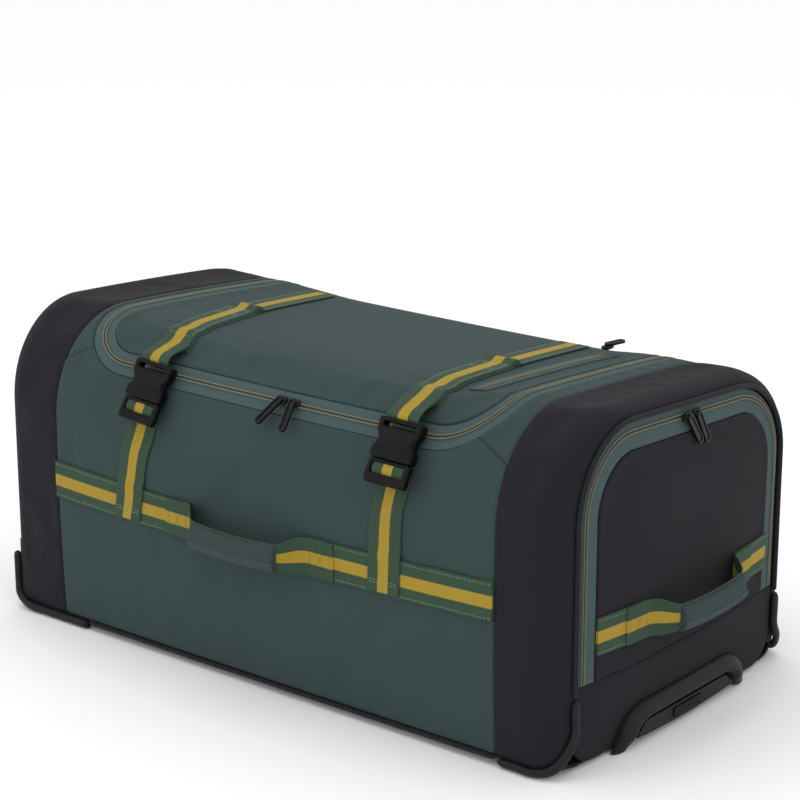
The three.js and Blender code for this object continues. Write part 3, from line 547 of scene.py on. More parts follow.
def worn_tone_and_weave_shade():
    group, given, put = new_group(
        "Worn tone and weave shade",
        [("Colour", "c", (0.1, 0.1, 0.1, 1)), ("Place", "v", None), ("Drift", "f", 0.12),
         ("Dust", "f", 0.04), ("Shade", "f", 1.0)],
        [("Colour", "c"), ("Dust mask", "f")],
    )
    broad = noise(group, given["Place"], 7.0, 2.0)
    small = noise(group, given["Place"], 95.0, 3.0)
    swing = maths(group, "ADD", maths(group, "MULTIPLY_ADD", broad, 2.0, -1.0),
                  maths(group, "MULTIPLY_ADD", small, 0.8, -0.4))
    drifting = maths(group, "MULTIPLY_ADD", swing, given["Drift"], 1.0)
    # The weave's painted shade multiplies the drifting tone here; where nothing is linked, Shade stays 1.
    level = maths(group, "MULTIPLY", drifting, given["Shade"])
    gray = group.nodes.new("ShaderNodeCombineColor")
    for socket in gray.inputs[:3]:
        group.links.new(level, socket)
    toned = mixed(group, 1.0, given["Colour"], gray.outputs[0], "MULTIPLY")
    specks = maths(group, "POWER", noise(group, given["Place"], 310.0, 4.0, 0.7), 6.0)
    mask = maths(group, "MULTIPLY", specks, given["Dust"], clamp=True)
    group.links.new(mixed(group, mask, toned, (0.45, 0.43, 0.4)), put["Colour"])
    group.links.new(mask, put["Dust mask"])
    return group


def moulded_grain():
    group, given, put = new_group(
        "Moulded grain",
        [("Place", "v", None), ("Size", "f", 900.0), ("Scuff", "f", 0.3)],
        [("Height", "f"), ("Scuffs", "f")],
    )
    cells = group.nodes.new("ShaderNodeTexVoronoi")
    cells.feature = "SMOOTH_F1"
    group.links.new(given["Place"], cells.inputs["Vector"])
    group.links.new(given["Size"], cells.inputs["Scale"])
    group.links.new(cells.outputs["Distance"], put["Height"])
    stretch = group.nodes.new("ShaderNodeMapping")
    stretch.inputs["Scale"].default_value = (30.0, 30.0, 260.0)
    group.links.new(given["Place"], stretch.inputs["Vector"])
    streaks = maths(group, "POWER", noise(group, stretch.outputs[0], 1.0, 4.0, 0.6), 3.0)
    group.links.new(maths(group, "MULTIPLY", streaks, given["Scuff"], clamp=True), put["Scuffs"])
    return group


WEAVE = woven_threads()
TONE_AND_SHADE = worn_tone_and_weave_shade()
GRAIN = moulded_grain()
print("shader groups:", [g.name for g in bpy.data.node_groups])

# %% [markdown]
# ## Finishes
# The cloth is a matte coated polyester. It has hardly any gloss and a faint sheen at grazing
# angles, so roughness is high and the weave is only a low bump. Webbing is ribbed across and
# its yellow stripe is woven in, so the stripe's edge steps from rib to rib.


# %% Material helpers
def new_finish(name, roughness, sheen=0.0, metallic=0.0, specular=0.5):
    finish = bpy.data.materials.new(name)
    finish.use_nodes = True
    tree = finish.node_tree
    shader = tree.nodes["Principled BSDF"]
    shader.inputs["Roughness"].default_value = roughness
    shader.inputs["Metallic"].default_value = metallic
    shader.inputs["Specular IOR Level"].default_value = specular
    shader.inputs["Sheen Weight"].default_value = sheen
    shader.inputs["Sheen Roughness"].default_value = 0.45
    return finish, tree, shader.inputs


def place_group(tree, group, **values):
    node = tree.nodes.new("ShaderNodeGroup")
    node.node_tree = group
    for label, value in values.items():
        socket = node.inputs[label.replace("_", " ")]
        if isinstance(value, (int, float)):
            socket.default_value = value
        elif isinstance(value, tuple):
            socket.default_value = (*value, 1.0)
        else:
            tree.links.new(value, socket)
    return node.outputs


def cloth_measure(tree):
    node = tree.nodes.new("ShaderNodeAttribute")
    node.attribute_type = "GEOMETRY"
    node.attribute_name = "cloth"
    return node.outputs["Vector"]


def body_place(tree):
    return tree.nodes.new("ShaderNodeTexCoord").outputs["Object"]


def bump(tree, height, depth, normal_input):
    node = tree.nodes.new("ShaderNodeBump")
    node.inputs["Strength"].default_value = 1.0
    node.inputs["Distance"].default_value = depth
    tree.links.new(height, node.inputs["Height"])
    tree.links.new(node.outputs["Normal"], normal_input)


print("material helpers ready")


# %% Cloth and webbing
RAGGED_EDGE = 0.00028
EDGE_SHARPNESS = 6000.0


def cloth_finish(name, colour, pitch, depth, drift=0.07, dust=0.02, sheen=0.03, roughness=0.86):
    finish, tree, shader = new_finish(name, roughness, sheen, specular=0.12)
    weave = place_group(tree, WEAVE, Cloth=cloth_measure(tree), Pitch=pitch, Slub=0.5)
    # The cloth colour carries the weave's painted shade besides its real drift and dust.
    tone = place_group(tree, TONE_AND_SHADE, Colour=colour, Place=body_place(tree), Drift=drift, Dust=dust,
                       Shade=weave["Shade"])
    tree.links.new(tone["Colour"], shader["Base Color"])
    bump(tree, weave["Height"], depth, shader["Normal"])
    return finish


def webbing_finish(name, green, yellow, stripe_half, rib):
    """Ribs run across the strap, and the stripe's edge moves with them."""
    finish, tree, shader = new_finish(name, 0.75, 0.04, specular=0.14)
    measure = cloth_measure(tree)
    across, along, _ = axes(tree, measure)
    phase = maths(tree, "MULTIPLY", along, 2 * math.pi / rib)
    ribs = maths(tree, "SINE", phase)
    ragged = maths(tree, "MULTIPLY", ribs, RAGGED_EDGE)
    edge = maths(tree, "ADD", maths(tree, "ABSOLUTE", across), ragged)
    within = maths(tree, "SUBTRACT", stripe_half, edge)
    inside = maths(tree, "MULTIPLY_ADD", within, EDGE_SHARPNESS, 0.5, clamp=True)
    weave = place_group(tree, WEAVE, Cloth=measure, Pitch=0.00085, Slub=0.4)
    # Both colours carry the weave's painted shade besides their real drift and dust.
    tone_green = place_group(tree, TONE_AND_SHADE, Colour=green, Place=body_place(tree), Drift=0.08, Dust=0.05,
                             Shade=weave["Shade"])
    tone_yellow = place_group(tree, TONE_AND_SHADE, Colour=yellow, Place=body_place(tree), Drift=0.07, Dust=0.02,
                              Shade=weave["Shade"])
    tree.links.new(mixed(tree, inside, tone_green["Colour"], tone_yellow["Colour"]), shader["Base Color"])
    height = maths(tree, "ADD", maths(tree, "MULTIPLY", ribs, 0.7), weave["Height"])
    bump(tree, height, 0.00022, shader["Normal"])
    return finish


print("cloth and webbing builders ready")


# %% Mouldings, metal and thread
def moulded_finish(name, colour, roughness, grain_size, depth, scuff=0.25, specular=0.5):
    finish, tree, shader = new_finish(name, roughness, specular=specular)
    place = body_place(tree)
    grain = place_group(tree, GRAIN, Place=place, Size=grain_size, Scuff=scuff)
    tone = place_group(tree, TONE_AND_SHADE, Colour=colour, Place=place, Drift=0.06, Dust=0.03)
    lighter = tuple(min(1.0, c * 1.7 + 0.01) for c in colour)
    tree.links.new(mixed(tree, grain["Scuffs"], tone["Colour"], lighter), shader["Base Color"])
    tree.links.new(maths(tree, "MULTIPLY_ADD", grain["Scuffs"], 0.35, roughness), shader["Roughness"])
    bump(tree, grain["Height"], depth, shader["Normal"])
    return finish


def metal_finish(name, colour, roughness):
    finish, tree, shader = new_finish(name, roughness, metallic=1.0)
    place = body_place(tree)
    grain = place_group(tree, GRAIN, Place=place, Size=300.0, Scuff=0.5)
    tone = place_group(tree, TONE_AND_SHADE, Colour=colour, Place=place, Drift=0.05, Dust=0.02)
    tree.links.new(tone["Colour"], shader["Base Color"])
    tree.links.new(maths(tree, "MULTIPLY_ADD", grain["Scuffs"], 0.3, roughness), shader["Roughness"])
    return finish


def thread_finish(name, colour):
    finish, tree, shader = new_finish(name, 0.6, 0.2, specular=0.3)
    tone = place_group(tree, TONE_AND_SHADE, Colour=colour, Place=body_place(tree), Drift=0.2, Dust=0.0)
    tree.links.new(tone["Colour"], shader["Base Color"])
    return finish


print("moulding, metal and thread builders ready")

# %% The finishes of this bag
GREEN_CLOTH = cloth_finish("green coated cloth", (0.0335, 0.0560, 0.0550), 0.0008, 0.00010)
BLACK_CLOTH = cloth_finish("black coated cloth", (0.0140, 0.0130, 0.0170), 0.0009, 0.00012, drift=0.05)
GRIP_CLOTH = cloth_finish("grip wrap cloth", (0.0400, 0.0620, 0.0620), 0.0008, 0.00010)
TAPE_CLOTH = cloth_finish("zip tape", (0.0560, 0.0870, 0.0880), 0.0006, 0.00010)
PIPING_CLOTH = cloth_finish("black piping", (0.0170, 0.0165, 0.0190), 0.0007, 0.00008, sheen=0.05)
WEBBING = webbing_finish("striped webbing", (0.037, 0.072, 0.044), (0.385, 0.265, 0.030), 0.0061, 0.0016)
MOULDING = moulded_finish("guard moulding", (0.0115, 0.0115, 0.0125), 0.46, 1400.0, 0.00006, specular=0.15)
BUCKLE_PLASTIC = moulded_finish("buckle acetal", (0.0035, 0.0035, 0.0040), 0.28, 2200.0, 0.00002,
                                scuff=0.05, specular=0.1)
SLIDER_METAL = moulded_finish("slider enamel", (0.005, 0.005, 0.0055), 0.28, 2600.0, 0.00001,
                              scuff=0.1, specular=0.18)
TYRE = moulded_finish("tyre rubber", (0.0120, 0.0120, 0.0125), 0.6, 1200.0, 0.00005, specular=0.2)
ALUMINIUM = metal_finish("drawn aluminium", (0.62, 0.63, 0.65), 0.34)
GOLD_THREAD = thread_finish("gold thread", (0.30, 0.20, 0.05))
PALE_THREAD = thread_finish("pale green thread", (0.21, 0.30, 0.20))
DARK_THREAD = thread_finish("dark green thread", (0.025, 0.045, 0.03))
print("finishes:", len(bpy.data.materials))


def dress(piece, finish, slot, body="bag", stands_for=()):
    """Gives a piece its finish and its body, and hides the solids it stands for."""
    piece.data.materials.clear()
    piece.data.materials.append(finish)
    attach(piece, body)
    if stands_for:
        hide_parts(*stands_for)
    return piece


# %% [markdown]
# ## Where the seams run
# These sizes repeat the pattern of the cut: where the black wraps start, the U of the lid
# zip, the pocket zip, the webbing band and the straps.

# %% Seam lines
LEFT_WRAP = 84
RIGHT_WRAP = 70
LEFT_GUSSET = 24
RIGHT_GUSSET = 33
LID_ANGLE = 51
HINGE_BACK = 40
BAND_HEIGHT = 164
TAIL_HEIGHT = 148
BUCKLE_DROP = 25
SEAM_X = {"left": LEFT_WRAP - HALF_LENGTH, "right": HALF_LENGTH - RIGHT_WRAP}
EDGE_X = {"left": SEAM_X["left"] + GAP / 2, "right": SEAM_X["right"] - GAP / 2}
LID_LEFT = SEAM_X["left"] + LEFT_GUSSET
LID_RIGHT = SEAM_X["right"] - RIGHT_GUSSET
LID_MIDDLE = (LID_LEFT + LID_RIGHT) / 2
LID_HALF = (LID_RIGHT - LID_LEFT) / 2
LID_CORNER = 60.0
LID_FRONT = -(RUN_TOP + TOP_RADIUS * math.radians(LID_ANGLE))
HINGE_V = RUN_TOP + HINGE_BACK
TAPE_HALF = 12.5
CHAIN_RISE = 1.8
DIAGONAL_FALL = 20.0
WEB_HALF = 19.0
WEB_THICK = 1.8
FRONT_V = front_at(BAND_HEIGHT)
END_BAND_Z = 132.0
TAIL_V = front_at(TAIL_HEIGHT)
STRAP_BACK = 112.0
STRAPS = {
    "left": {"tail": -171, "buckle": -147, "lid": -178, "end": -186},
    "right": {"tail": 173, "buckle": 179, "lid": 166, "end": 160},
}
BUCKLE_V = LID_FRONT - BUCKLE_DROP
BUCKLE_LIFT = LAY + WEB_THICK + GAP * 1.5
FRONT_STEPS = 60
TURN_STEPS = 24
SIDE_STEPS = 70


def lid_line(out):
    """The U of the zip, moved out, as (x, v) from the left hinge round the front to the right."""
    w = LID_HALF + out
    r = LID_CORNER + out
    front = LID_FRONT - out
    run = np.linspace(0, 1, FRONT_STEPS + 1) * (w - r)
    turn = np.linspace(0, np.pi / 2, TURN_STEPS + 1)[1:]
    side = np.linspace(front + r, HINGE_V, SIDE_STEPS + 1)[1:]
    x = np.concatenate([run, w - r + r * np.sin(turn), np.full(SIDE_STEPS, w)])
    v = np.concatenate([np.full(FRONT_STEPS + 1, front), front + r - r * np.cos(turn), side])
    right = np.stack([LID_MIDDLE + x, v], 1)
    left = np.stack([LID_MIDDLE - x[:0:-1], v[:0:-1]], 1)
    return np.concatenate([left, right])


LID_COUNT = FRONT_STEPS + TURN_STEPS + SIDE_STEPS + 1
HALF_TURN = FRONT_STEPS + TURN_STEPS // 2
DIAGONAL_V = float(lid_line(TAPE_HALF + GAP)[LID_COUNT - 1 + HALF_TURN, 1] - DIAGONAL_FALL)
print("lid zip front at v", round(float(LID_FRONT), 1), "diagonal seam ends at", round(DIAGONAL_V, 1))

# %% [markdown]
# ## How the cloth hangs
# Stiffened cloth never lies as flat as its pattern. Here a single cloth run settles the whole
# hull: it is pinned where seams, zips and webbing hold it, is cut a touch too large, and
# sinks a little under its own weight. What is kept is only how far each point moves in or
# out, as a field over (x, v), so that panels, zips and straps all move together.

# %% Where the cloth is held
FIELD_X = np.linspace(-HALF_LENGTH, HALF_LENGTH, 149)
FIELD_V = np.linspace(-SEAM_V, SEAM_V, 193)
SLACK_MOST = 3.2
SLACK_START = 0.5


def distance_to(line, x, v):
    """Distance of every (x, v) from a polyline, in millimetres."""
    best = np.full(x.shape, 1e9)
    for a, b in zip(line[:-1:3], line[3::3]):
        ab = b - a
        t = np.clip(((x - a[0]) * ab[0] + (v - a[1]) * ab[1]) / (ab @ ab), 0, 1)
        best = np.minimum(best, np.hypot(x - a[0] - t * ab[0], v - a[1] - t * ab[1]))
    return best


def hold(x, v):
    """How firmly the cloth is held: 1 at hoops and base, less along seams, zip and band."""
    near = lambda d, width: np.exp(-(d / width) ** 2)
    hoops = np.clip((np.abs(x) - (HALF_LENGTH - HOOP)) / 10, 0, 1)
    base = near(SEAM_V - np.abs(v), 9)
    seams = 0.9 * np.maximum(near(x - SEAM_X["left"], 7), near(x - SEAM_X["right"], 7))
    zip_hold = 0.85 * near(distance_to(lid_line(0), x, v), 13)
    band = 0.7 * near(v - FRONT_V, 15)
    return np.max(np.stack([hoops, base, seams, zip_hold, band]), 0)


def waves(x, v):
    return (
        np.sin(x / 71 + v / 130 + 0.6)
        + 0.7 * np.sin(x / 43 - v / 88 + 2.1)
        + 0.5 * np.sin(v / 37 + x / 150 + 4.0)
    )


print("field of", len(FIELD_X), "by", len(FIELD_V), "points")

# %% The cloth run
CLOTH_FRAMES = 20
HULL_MASS = 0.25
HULL_STRETCH = 12
HULL_SHEAR = 4
HULL_BEND = 4
HULL_OVERSIZE = 0.004
HULL_GRAVITY = 0.02


def run_cloth(piece):
    """Step the piece's cloth modifier to its last frame, and give the points it ends with."""
    cache = piece.modifiers["cloth"].point_cache
    cache.frame_start = 1
    cache.frame_end = CLOTH_FRAMES
    for number in range(1, CLOTH_FRAMES + 1):
        bpy.context.scene.frame_set(number)
    ready = piece.evaluated_get(bpy.context.evaluated_depsgraph_get())
    points = np.empty(len(piece.data.vertices) * 3)
    ready.data.vertices.foreach_get("co", points)
    bpy.context.scene.frame_set(1)
    return points.reshape(-1, 3)


def settled_by_cloth():
    x, v = np.meshgrid(FIELD_X, FIELD_V, indexing="ij")
    held = hold(x, v)
    start = skin(x, v, SLACK_START * waves(x, v) * (1 - held))
    rest = skin(x, v)
    out = unit(skin(x, v, 1.0) - rest)
    mesh = bpy.data.meshes.new("hull")
    mesh.from_pydata(start.reshape(-1, 3).tolist(), [], quads(*x.shape).tolist())
    sheet = new_object("hull", mesh)
    pins = sheet.vertex_groups.new(name="held")
    levels = np.round(held.ravel(), 2)
    for level in np.unique(levels):
        pins.add(np.flatnonzero(levels == level).tolist(), float(level), "REPLACE")
    cloth = sheet.modifiers.new("cloth", "CLOTH")
    cloth.settings.mass = HULL_MASS
    cloth.settings.tension_stiffness = HULL_STRETCH
    cloth.settings.compression_stiffness = HULL_STRETCH
    cloth.settings.shear_stiffness = HULL_SHEAR
    cloth.settings.bending_stiffness = HULL_BEND
    cloth.settings.vertex_group_mass = "held"
    cloth.settings.shrink_min = -HULL_OVERSIZE
    cloth.settings.effector_weights.gravity = HULL_GRAVITY
    moved = run_cloth(sheet)
    bpy.data.objects.remove(sheet)
    shift = np.einsum("ijk,ijk->ij", moved.reshape(*x.shape, 3) - rest, out) / MM
    print("cloth run moves the hull by", shift.min().round(2), "to", shift.max().round(2), "mm")
    return SLACK_MOST * np.tanh(shift / SLACK_MOST)


SLACK = settled_by_cloth()
print("slack from", SLACK.min().round(2), "to", SLACK.max().round(2), "mm")


# %% Reading the field
def slack(x, v):
    """The field read between its own lines."""
    x, v = np.broadcast_arrays(np.asarray(x, float), np.asarray(v, float))
    i = np.clip((x - FIELD_X[0]) / (FIELD_X[1] - FIELD_X[0]), 0, len(FIELD_X) - 1.001)
    j = np.clip((v - FIELD_V[0]) / (FIELD_V[1] - FIELD_V[0]), 0, len(FIELD_V) - 1.001)
    a, b = i.astype(int), j.astype(int)
    s, t = i - a, j - b
    top = SLACK[a, b] * (1 - t) + SLACK[a, b + 1] * t
    low = SLACK[a + 1, b] * (1 - t) + SLACK[a + 1, b + 1] * t
    return (top * (1 - s) + low * s) * (np.abs(v) <= SEAM_V)


def hull(x, v, off=0.0):
    """The skin with its slack, for panels and for everything that lies on them."""
    return skin(x, v, off + slack(x, v))


print("slack at the middle of the front", round(float(slack(0, FRONT_V + 100)), 2), "mm")

# %% [markdown]
# ## Panels
# Every panel is stretched between two edge curves. Where it is sewn to its neighbour the
# edge tucks down into the seam, with small puckers from the thread's pull. Where it meets a
# zip the edge is folded over and stands up as a lip. Both are real height, so the seams show
# as shaded grooves from any side.

# %% Grids between edge curves
EDGE_LINES = np.array([0, 0.5, 1.1, 1.9, 3.0, 4.6, 7.0])
TUCK_DEPTH = 1.5
TUCK_WIDTH = 5.5
LIP_HEIGHT = 0.7
LIP_WIDTH = 6.0


def lines(length, step):
    """Stations from 0 to length, crowded beside both ends."""
    edge = EDGE_LINES * min(1.0, length / (2.6 * EDGE_LINES[-1]))
    count = max(2, int(round((length - 2 * edge[-1]) / step)) + 1)
    inner = np.linspace(edge[-1], length - edge[-1], count)
    return np.concatenate([edge[:-1], inner, length - edge[-2::-1]])


def between(near, far, step=4.0):
    """Grid of (x, v) pairs between two curves, and each point's distance from the four edges."""
    gaps = np.linalg.norm(far - near, axis=1)
    middle = (near + far) / 2
    run = np.concatenate([[0], np.cumsum(np.linalg.norm(np.diff(middle, axis=0), axis=1))])
    s = lines(run[-1], step)
    t = lines(gaps.mean(), step) / gaps.mean()
    index = np.interp(s, run, np.arange(len(near)))
    count = np.arange(len(near))
    pick = lambda curve: np.stack([np.interp(index, count, curve[:, k]) for k in (0, 1)], -1)
    grid = pick(near)[None] * (1 - t[:, None, None]) + pick(far)[None] * t[:, None, None]
    gap = np.interp(index, np.arange(len(gaps)), gaps)
    zero = np.zeros((len(t), len(s)))
    edges = np.stack([t[:, None] * gap, (1 - t[:, None]) * gap, zero + s, zero + run[-1] - s], -1)
    return grid, edges


def edge_rise(edges, kinds):
    """Height given by the four edges: tuck goes down into a seam, lip stands up beside a zip."""
    rise = 0.0
    for k, kind in enumerate(kinds):
        d = edges[..., k]
        if kind == "tuck":
            rise = rise - TUCK_DEPTH * np.clip(1 - d / TUCK_WIDTH, 0, 1) ** 2
            along = edges[..., (k + 2) % 4]
            pull = np.sin(along / 1.9 + 3 * np.sin(along / 31)) * np.sin(along / 7.3 + 1)
            rise = rise + 0.22 * pull * np.clip(1 - np.abs(d - 4) / 6, 0, 1)
        elif kind == "lip":
            stand = np.clip((LIP_WIDTH + 3 - d) / 3, 0, 1)
            rise = rise + LIP_HEIGHT * stand**2 * (3 - 2 * stand)
            rise = rise - 1.3 * np.clip(1 - d / 1.1, 0, 1) ** 2
    return rise


def panel(name, near, far, kinds, finish, slot, step=4.0, place=hull):
    grid, edges = between(np.asarray(near, float), np.asarray(far, float), step)
    a, b = grid[..., 0], grid[..., 1]
    outer = place(a, b, edge_rise(edges, kinds))
    inner = place(a, b, -WALL)
    piece = closed_sheet(name, outer, inner, grid)
    return dress(piece, finish, slot, stands_for=(name.replace("cloth_", "", 1),))


print("edges tuck", TUCK_DEPTH, "mm into seams and stand", LIP_HEIGHT, "mm beside zips")

# %% Front, back, lid and gussets
BESIDE_ZIP = ("lip", "tuck", "tuck", "tuck")
out_line = lid_line(TAPE_HALF + GAP)
in_line = lid_line(-TAPE_HALF - GAP)
centre_index = LID_COUNT - 1
left_turn = centre_index - HALF_TURN
right_turn = centre_index + HALF_TURN
steps = np.linspace(0, 1, 9)


def straight(a, b):
    return np.asarray(a)[None] * (1 - steps[:, None]) + np.asarray(b)[None] * steps[:, None]


front_top = np.concatenate([
    straight((EDGE_X["left"], DIAGONAL_V), out_line[left_turn])[:-1],
    out_line[left_turn:right_turn + 1],
    straight(out_line[right_turn], (EDGE_X["right"], DIAGONAL_V))[1:],
])
front_low = np.stack([front_top[:, 0], np.full(len(front_top), -SEAM_V)], 1)
made = [panel("cloth_front_panel", front_top, front_low, BESIDE_ZIP, GREEN_CLOTH, "green_cloth")]

back_top = straight((EDGE_X["left"], HINGE_V + GAP), (EDGE_X["right"], HINGE_V + GAP))
back_low = straight((EDGE_X["left"], SEAM_V), (EDGE_X["right"], SEAM_V))
made.append(panel("cloth_back_panel", back_top, back_low, ("tuck",) * 4, GREEN_CLOTH, "green_cloth"))

lid_left = in_line[:centre_index - FRONT_STEPS + 1][::-1]
lid_right = in_line[centre_index + FRONT_STEPS:]
lid_edges = ("lip", "lip", "lip", "tuck")
made.append(panel("cloth_lid_panel", lid_left, lid_right, lid_edges, GREEN_CLOTH, "green_cloth"))

FADE_STEPS = 12
sides = {"left": out_line[:left_turn + 1][::-1], "right": out_line[right_turn:]}
for end, line in sides.items():
    fade = np.clip(np.arange(len(line)) / FADE_STEPS, 0, 1)
    start_v = DIAGONAL_V + (line[FADE_STEPS, 1] - DIAGONAL_V) * fade
    outer_v = line[:, 1] * fade + start_v * (1 - fade)
    outer_edge = np.stack([np.full(len(line), EDGE_X[end]), outer_v], 1)
    name = f"cloth_lid_gusset_{end}"
    made.append(panel(name, line, outer_edge, BESIDE_ZIP, GREEN_CLOTH, "green_cloth", step=3.5))
print("green panels:", [m.name for m in made])

# %% [markdown]
# ## Black wraps, base and end faces
# The wraps turn round the hoops in one piece each. At the wheel end, and under the trolley,
# the cloth is cut away for the housings. A Boolean with plain boxes does that, as scissors
# would, after the sheet has its final shape.


# %% Cutting openings
CUT_REACH = 0.08


def cut_boxes(piece, boxes):
    """Cuts each box out of the piece, and applies the cut."""
    for low, high in boxes:
        mesh = bpy.data.meshes.new("cutter")
        shape = bmesh.new()
        bmesh.ops.create_cube(shape, size=1)
        size = Vector(high) - Vector(low)
        bmesh.ops.scale(shape, verts=shape.verts, vec=size)
        bmesh.ops.translate(shape, verts=shape.verts, vec=(Vector(high) + Vector(low)) / 2)
        shape.to_mesh(mesh)
        shape.free()
        cutter = new_object("cutter", mesh)
        change = piece.modifiers.new("cut", "BOOLEAN")
        change.operation = "DIFFERENCE"
        change.solver = "MANIFOLD"
        change.object = cutter
        ready = piece.evaluated_get(bpy.context.evaluated_depsgraph_get())
        data = bpy.data.meshes.new_from_object(ready)
        piece.modifiers.clear()
        old = piece.data
        piece.data = data
        bpy.data.meshes.remove(old)
        bpy.data.objects.remove(cutter)
    return piece


def opening(node, grow):
    """Box of a wheel housing, grown on all sides and open to the left end and the floor."""
    low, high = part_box(node)
    return (
        (low.x - CUT_REACH, low.y - grow, low.z - CUT_REACH),
        (high.x + grow, high.y + grow, high.z + grow),
    )


WELLS = [opening(f"wheel_housing_{side}", GAP * MM) for side in ("front", "back")]
housing_low, housing_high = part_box("trolley_housing")
ARCH_HALF = 109.0
ARCH_HEIGHT = 43.0
ARCH_BAND = 17.0
RECESS_HALF = ARCH_HALF - ARCH_BAND / 2 - 1 + GAP
RECESS_TOP = ARCH_HEIGHT - ARCH_BAND / 2 - 1 + GAP
RECESS = (
    (housing_low.x - GAP * MM, (MIDDLE_Y - RECESS_HALF) * MM, -0.02),
    (housing_high.x + 0.05, (MIDDLE_Y + RECESS_HALF) * MM, RECESS_TOP * MM),
)

print("wheel wells:", len(WELLS), "and a recess", round(2 * RECESS_HALF), "mm wide")

# %% The wraps
for end, s in (("left", -1), ("right", 1)):
    first_x = abs(SEAM_X[end]) + GAP / 2
    flat_x = first_x + lines(HALF_LENGTH - HOOP - first_x, 4.0)
    bend_x = HALF_LENGTH - HOOP + HOOP * np.sin(np.linspace(0, np.pi / 2, 13)[1:])
    xs = s * np.concatenate([flat_x, bend_x])
    vs = -SEAM_V + lines(2 * SEAM_V, 4.0)
    x, v = np.meshgrid(xs, vs, indexing="ij")
    from_seam = np.abs(np.abs(x) - abs(SEAM_X[end]))
    rise = -TUCK_DEPTH * np.clip(1 - from_seam / TUCK_WIDTH, 0, 1) ** 2
    rise = rise - TUCK_DEPTH * np.clip(1 - (SEAM_V - np.abs(v)) / TUCK_WIDTH, 0, 1) ** 2
    flat = np.stack([x, v], -1)
    piece = closed_sheet(f"cloth_wrap_{end}", hull(x, v, rise), hull(x, v, -WALL), flat)
    if s < 0:
        cut_boxes(piece, WELLS)
    dress(piece, BLACK_CLOTH, "black_cloth", stands_for=(f"wrap_{end}",))
    print(piece.name, len(piece.data.polygons), "faces")


# %% The base
def underside(x, u, off=0.0):
    """u runs from the middle of the base to the front (-) or the back (+)."""
    return skin(x, np.where(u < 0, -1.0, 1.0) * (RUN_ALL - np.abs(u)), off)


base_half = float(RUN_ALL - SEAM_V - GAP)
base_end = HALF_LENGTH - WALL - GAP
u_lines = -base_half + lines(2 * base_half, 6.0)
x_lines = -base_end + lines(2 * base_end, 8.0)
x, u = np.meshgrid(x_lines, u_lines, indexing="ij")
flat = np.stack([x, u], -1)
base = closed_sheet("cloth_base_panel", underside(x, u), underside(x, u, -WALL), flat)
cut_boxes(base, [*WELLS, RECESS])
dress(base, BLACK_CLOTH, "black_cloth", stands_for=("base_panel",))
print(base.name, len(base.data.polygons), "faces")

# %% The end faces
END_ZIP_INSET = 3.4
END_CHAIN_INSET = 8.5
ZIP_IN = END_ZIP_INSET + 2 * TAPE_HALF
END_SEAM_HEIGHT = 87
SEAM_GIRTH = girth_at(HALF_LENGTH, END_SEAM_HEIGHT)


def pulled(side):
    """The end face with the slow puckers of its own slack."""
    face = dome(side)

    def place(y, z, off=0.0):
        angle = np.arctan2(y, z - FACE_HEART)
        reach = np.interp(angle, ring_angle[ring_order], ring_reach[ring_order])
        free = np.clip(1 - (np.hypot(y, z - FACE_HEART) / reach) ** 4, 0, 1)
        drift = 0.9 * np.sin(y / 52 + z / 71 + side) + 0.6 * np.sin(y / 33 - z / 47 + 2 * side)
        return face(y, z, off + drift * free)

    return place


def across_face(v_from, v_to, inset):
    """Left and right edge curves of a strip of the end face, from girth to girth."""
    v = np.linspace(v_from, v_to, 60)
    y0, z0 = ring(-v, inset)
    y1, z1 = ring(v, inset)
    return np.stack([y0, z0], 1), np.stack([y1, z1], 1)


for end, s in (("left", -1), ("right", 1)):
    place = pulled(s)
    low_edges = across_face(SEAM_GIRTH + GAP, RUN_BASE, GAP)
    kinds = ("tuck", "tuck", "tuck", "plain")
    name = f"cloth_end_lower_{end}"
    lower = panel(name, *low_edges, kinds, BLACK_CLOTH, "black_cloth", place=place)
    cut_boxes(lower, WELLS if s < 0 else [RECESS])
    inset = ZIP_IN + GAP if s > 0 else GAP
    name = "cloth_end_pocket" if s > 0 else "cloth_end_panel_left"
    kinds = ("lip", "lip", "tuck", "lip") if s > 0 else ("tuck",) * 4
    top_edges = across_face(SEAM_GIRTH - GAP, RUN_TOP, inset)
    panel(name, *top_edges, kinds, BLACK_CLOTH, "black_cloth", place=place)
print("end faces done")

# %% [markdown]
# ## Zips
# A reversed coil zip shows only two smooth tape lips that meet over the hidden teeth. So the
# tape is a flat strip, the closed lips are a low double roll with a dark groove between them,
# and the gold rows are the thread that holds the coil: real stitches, not a painted line.


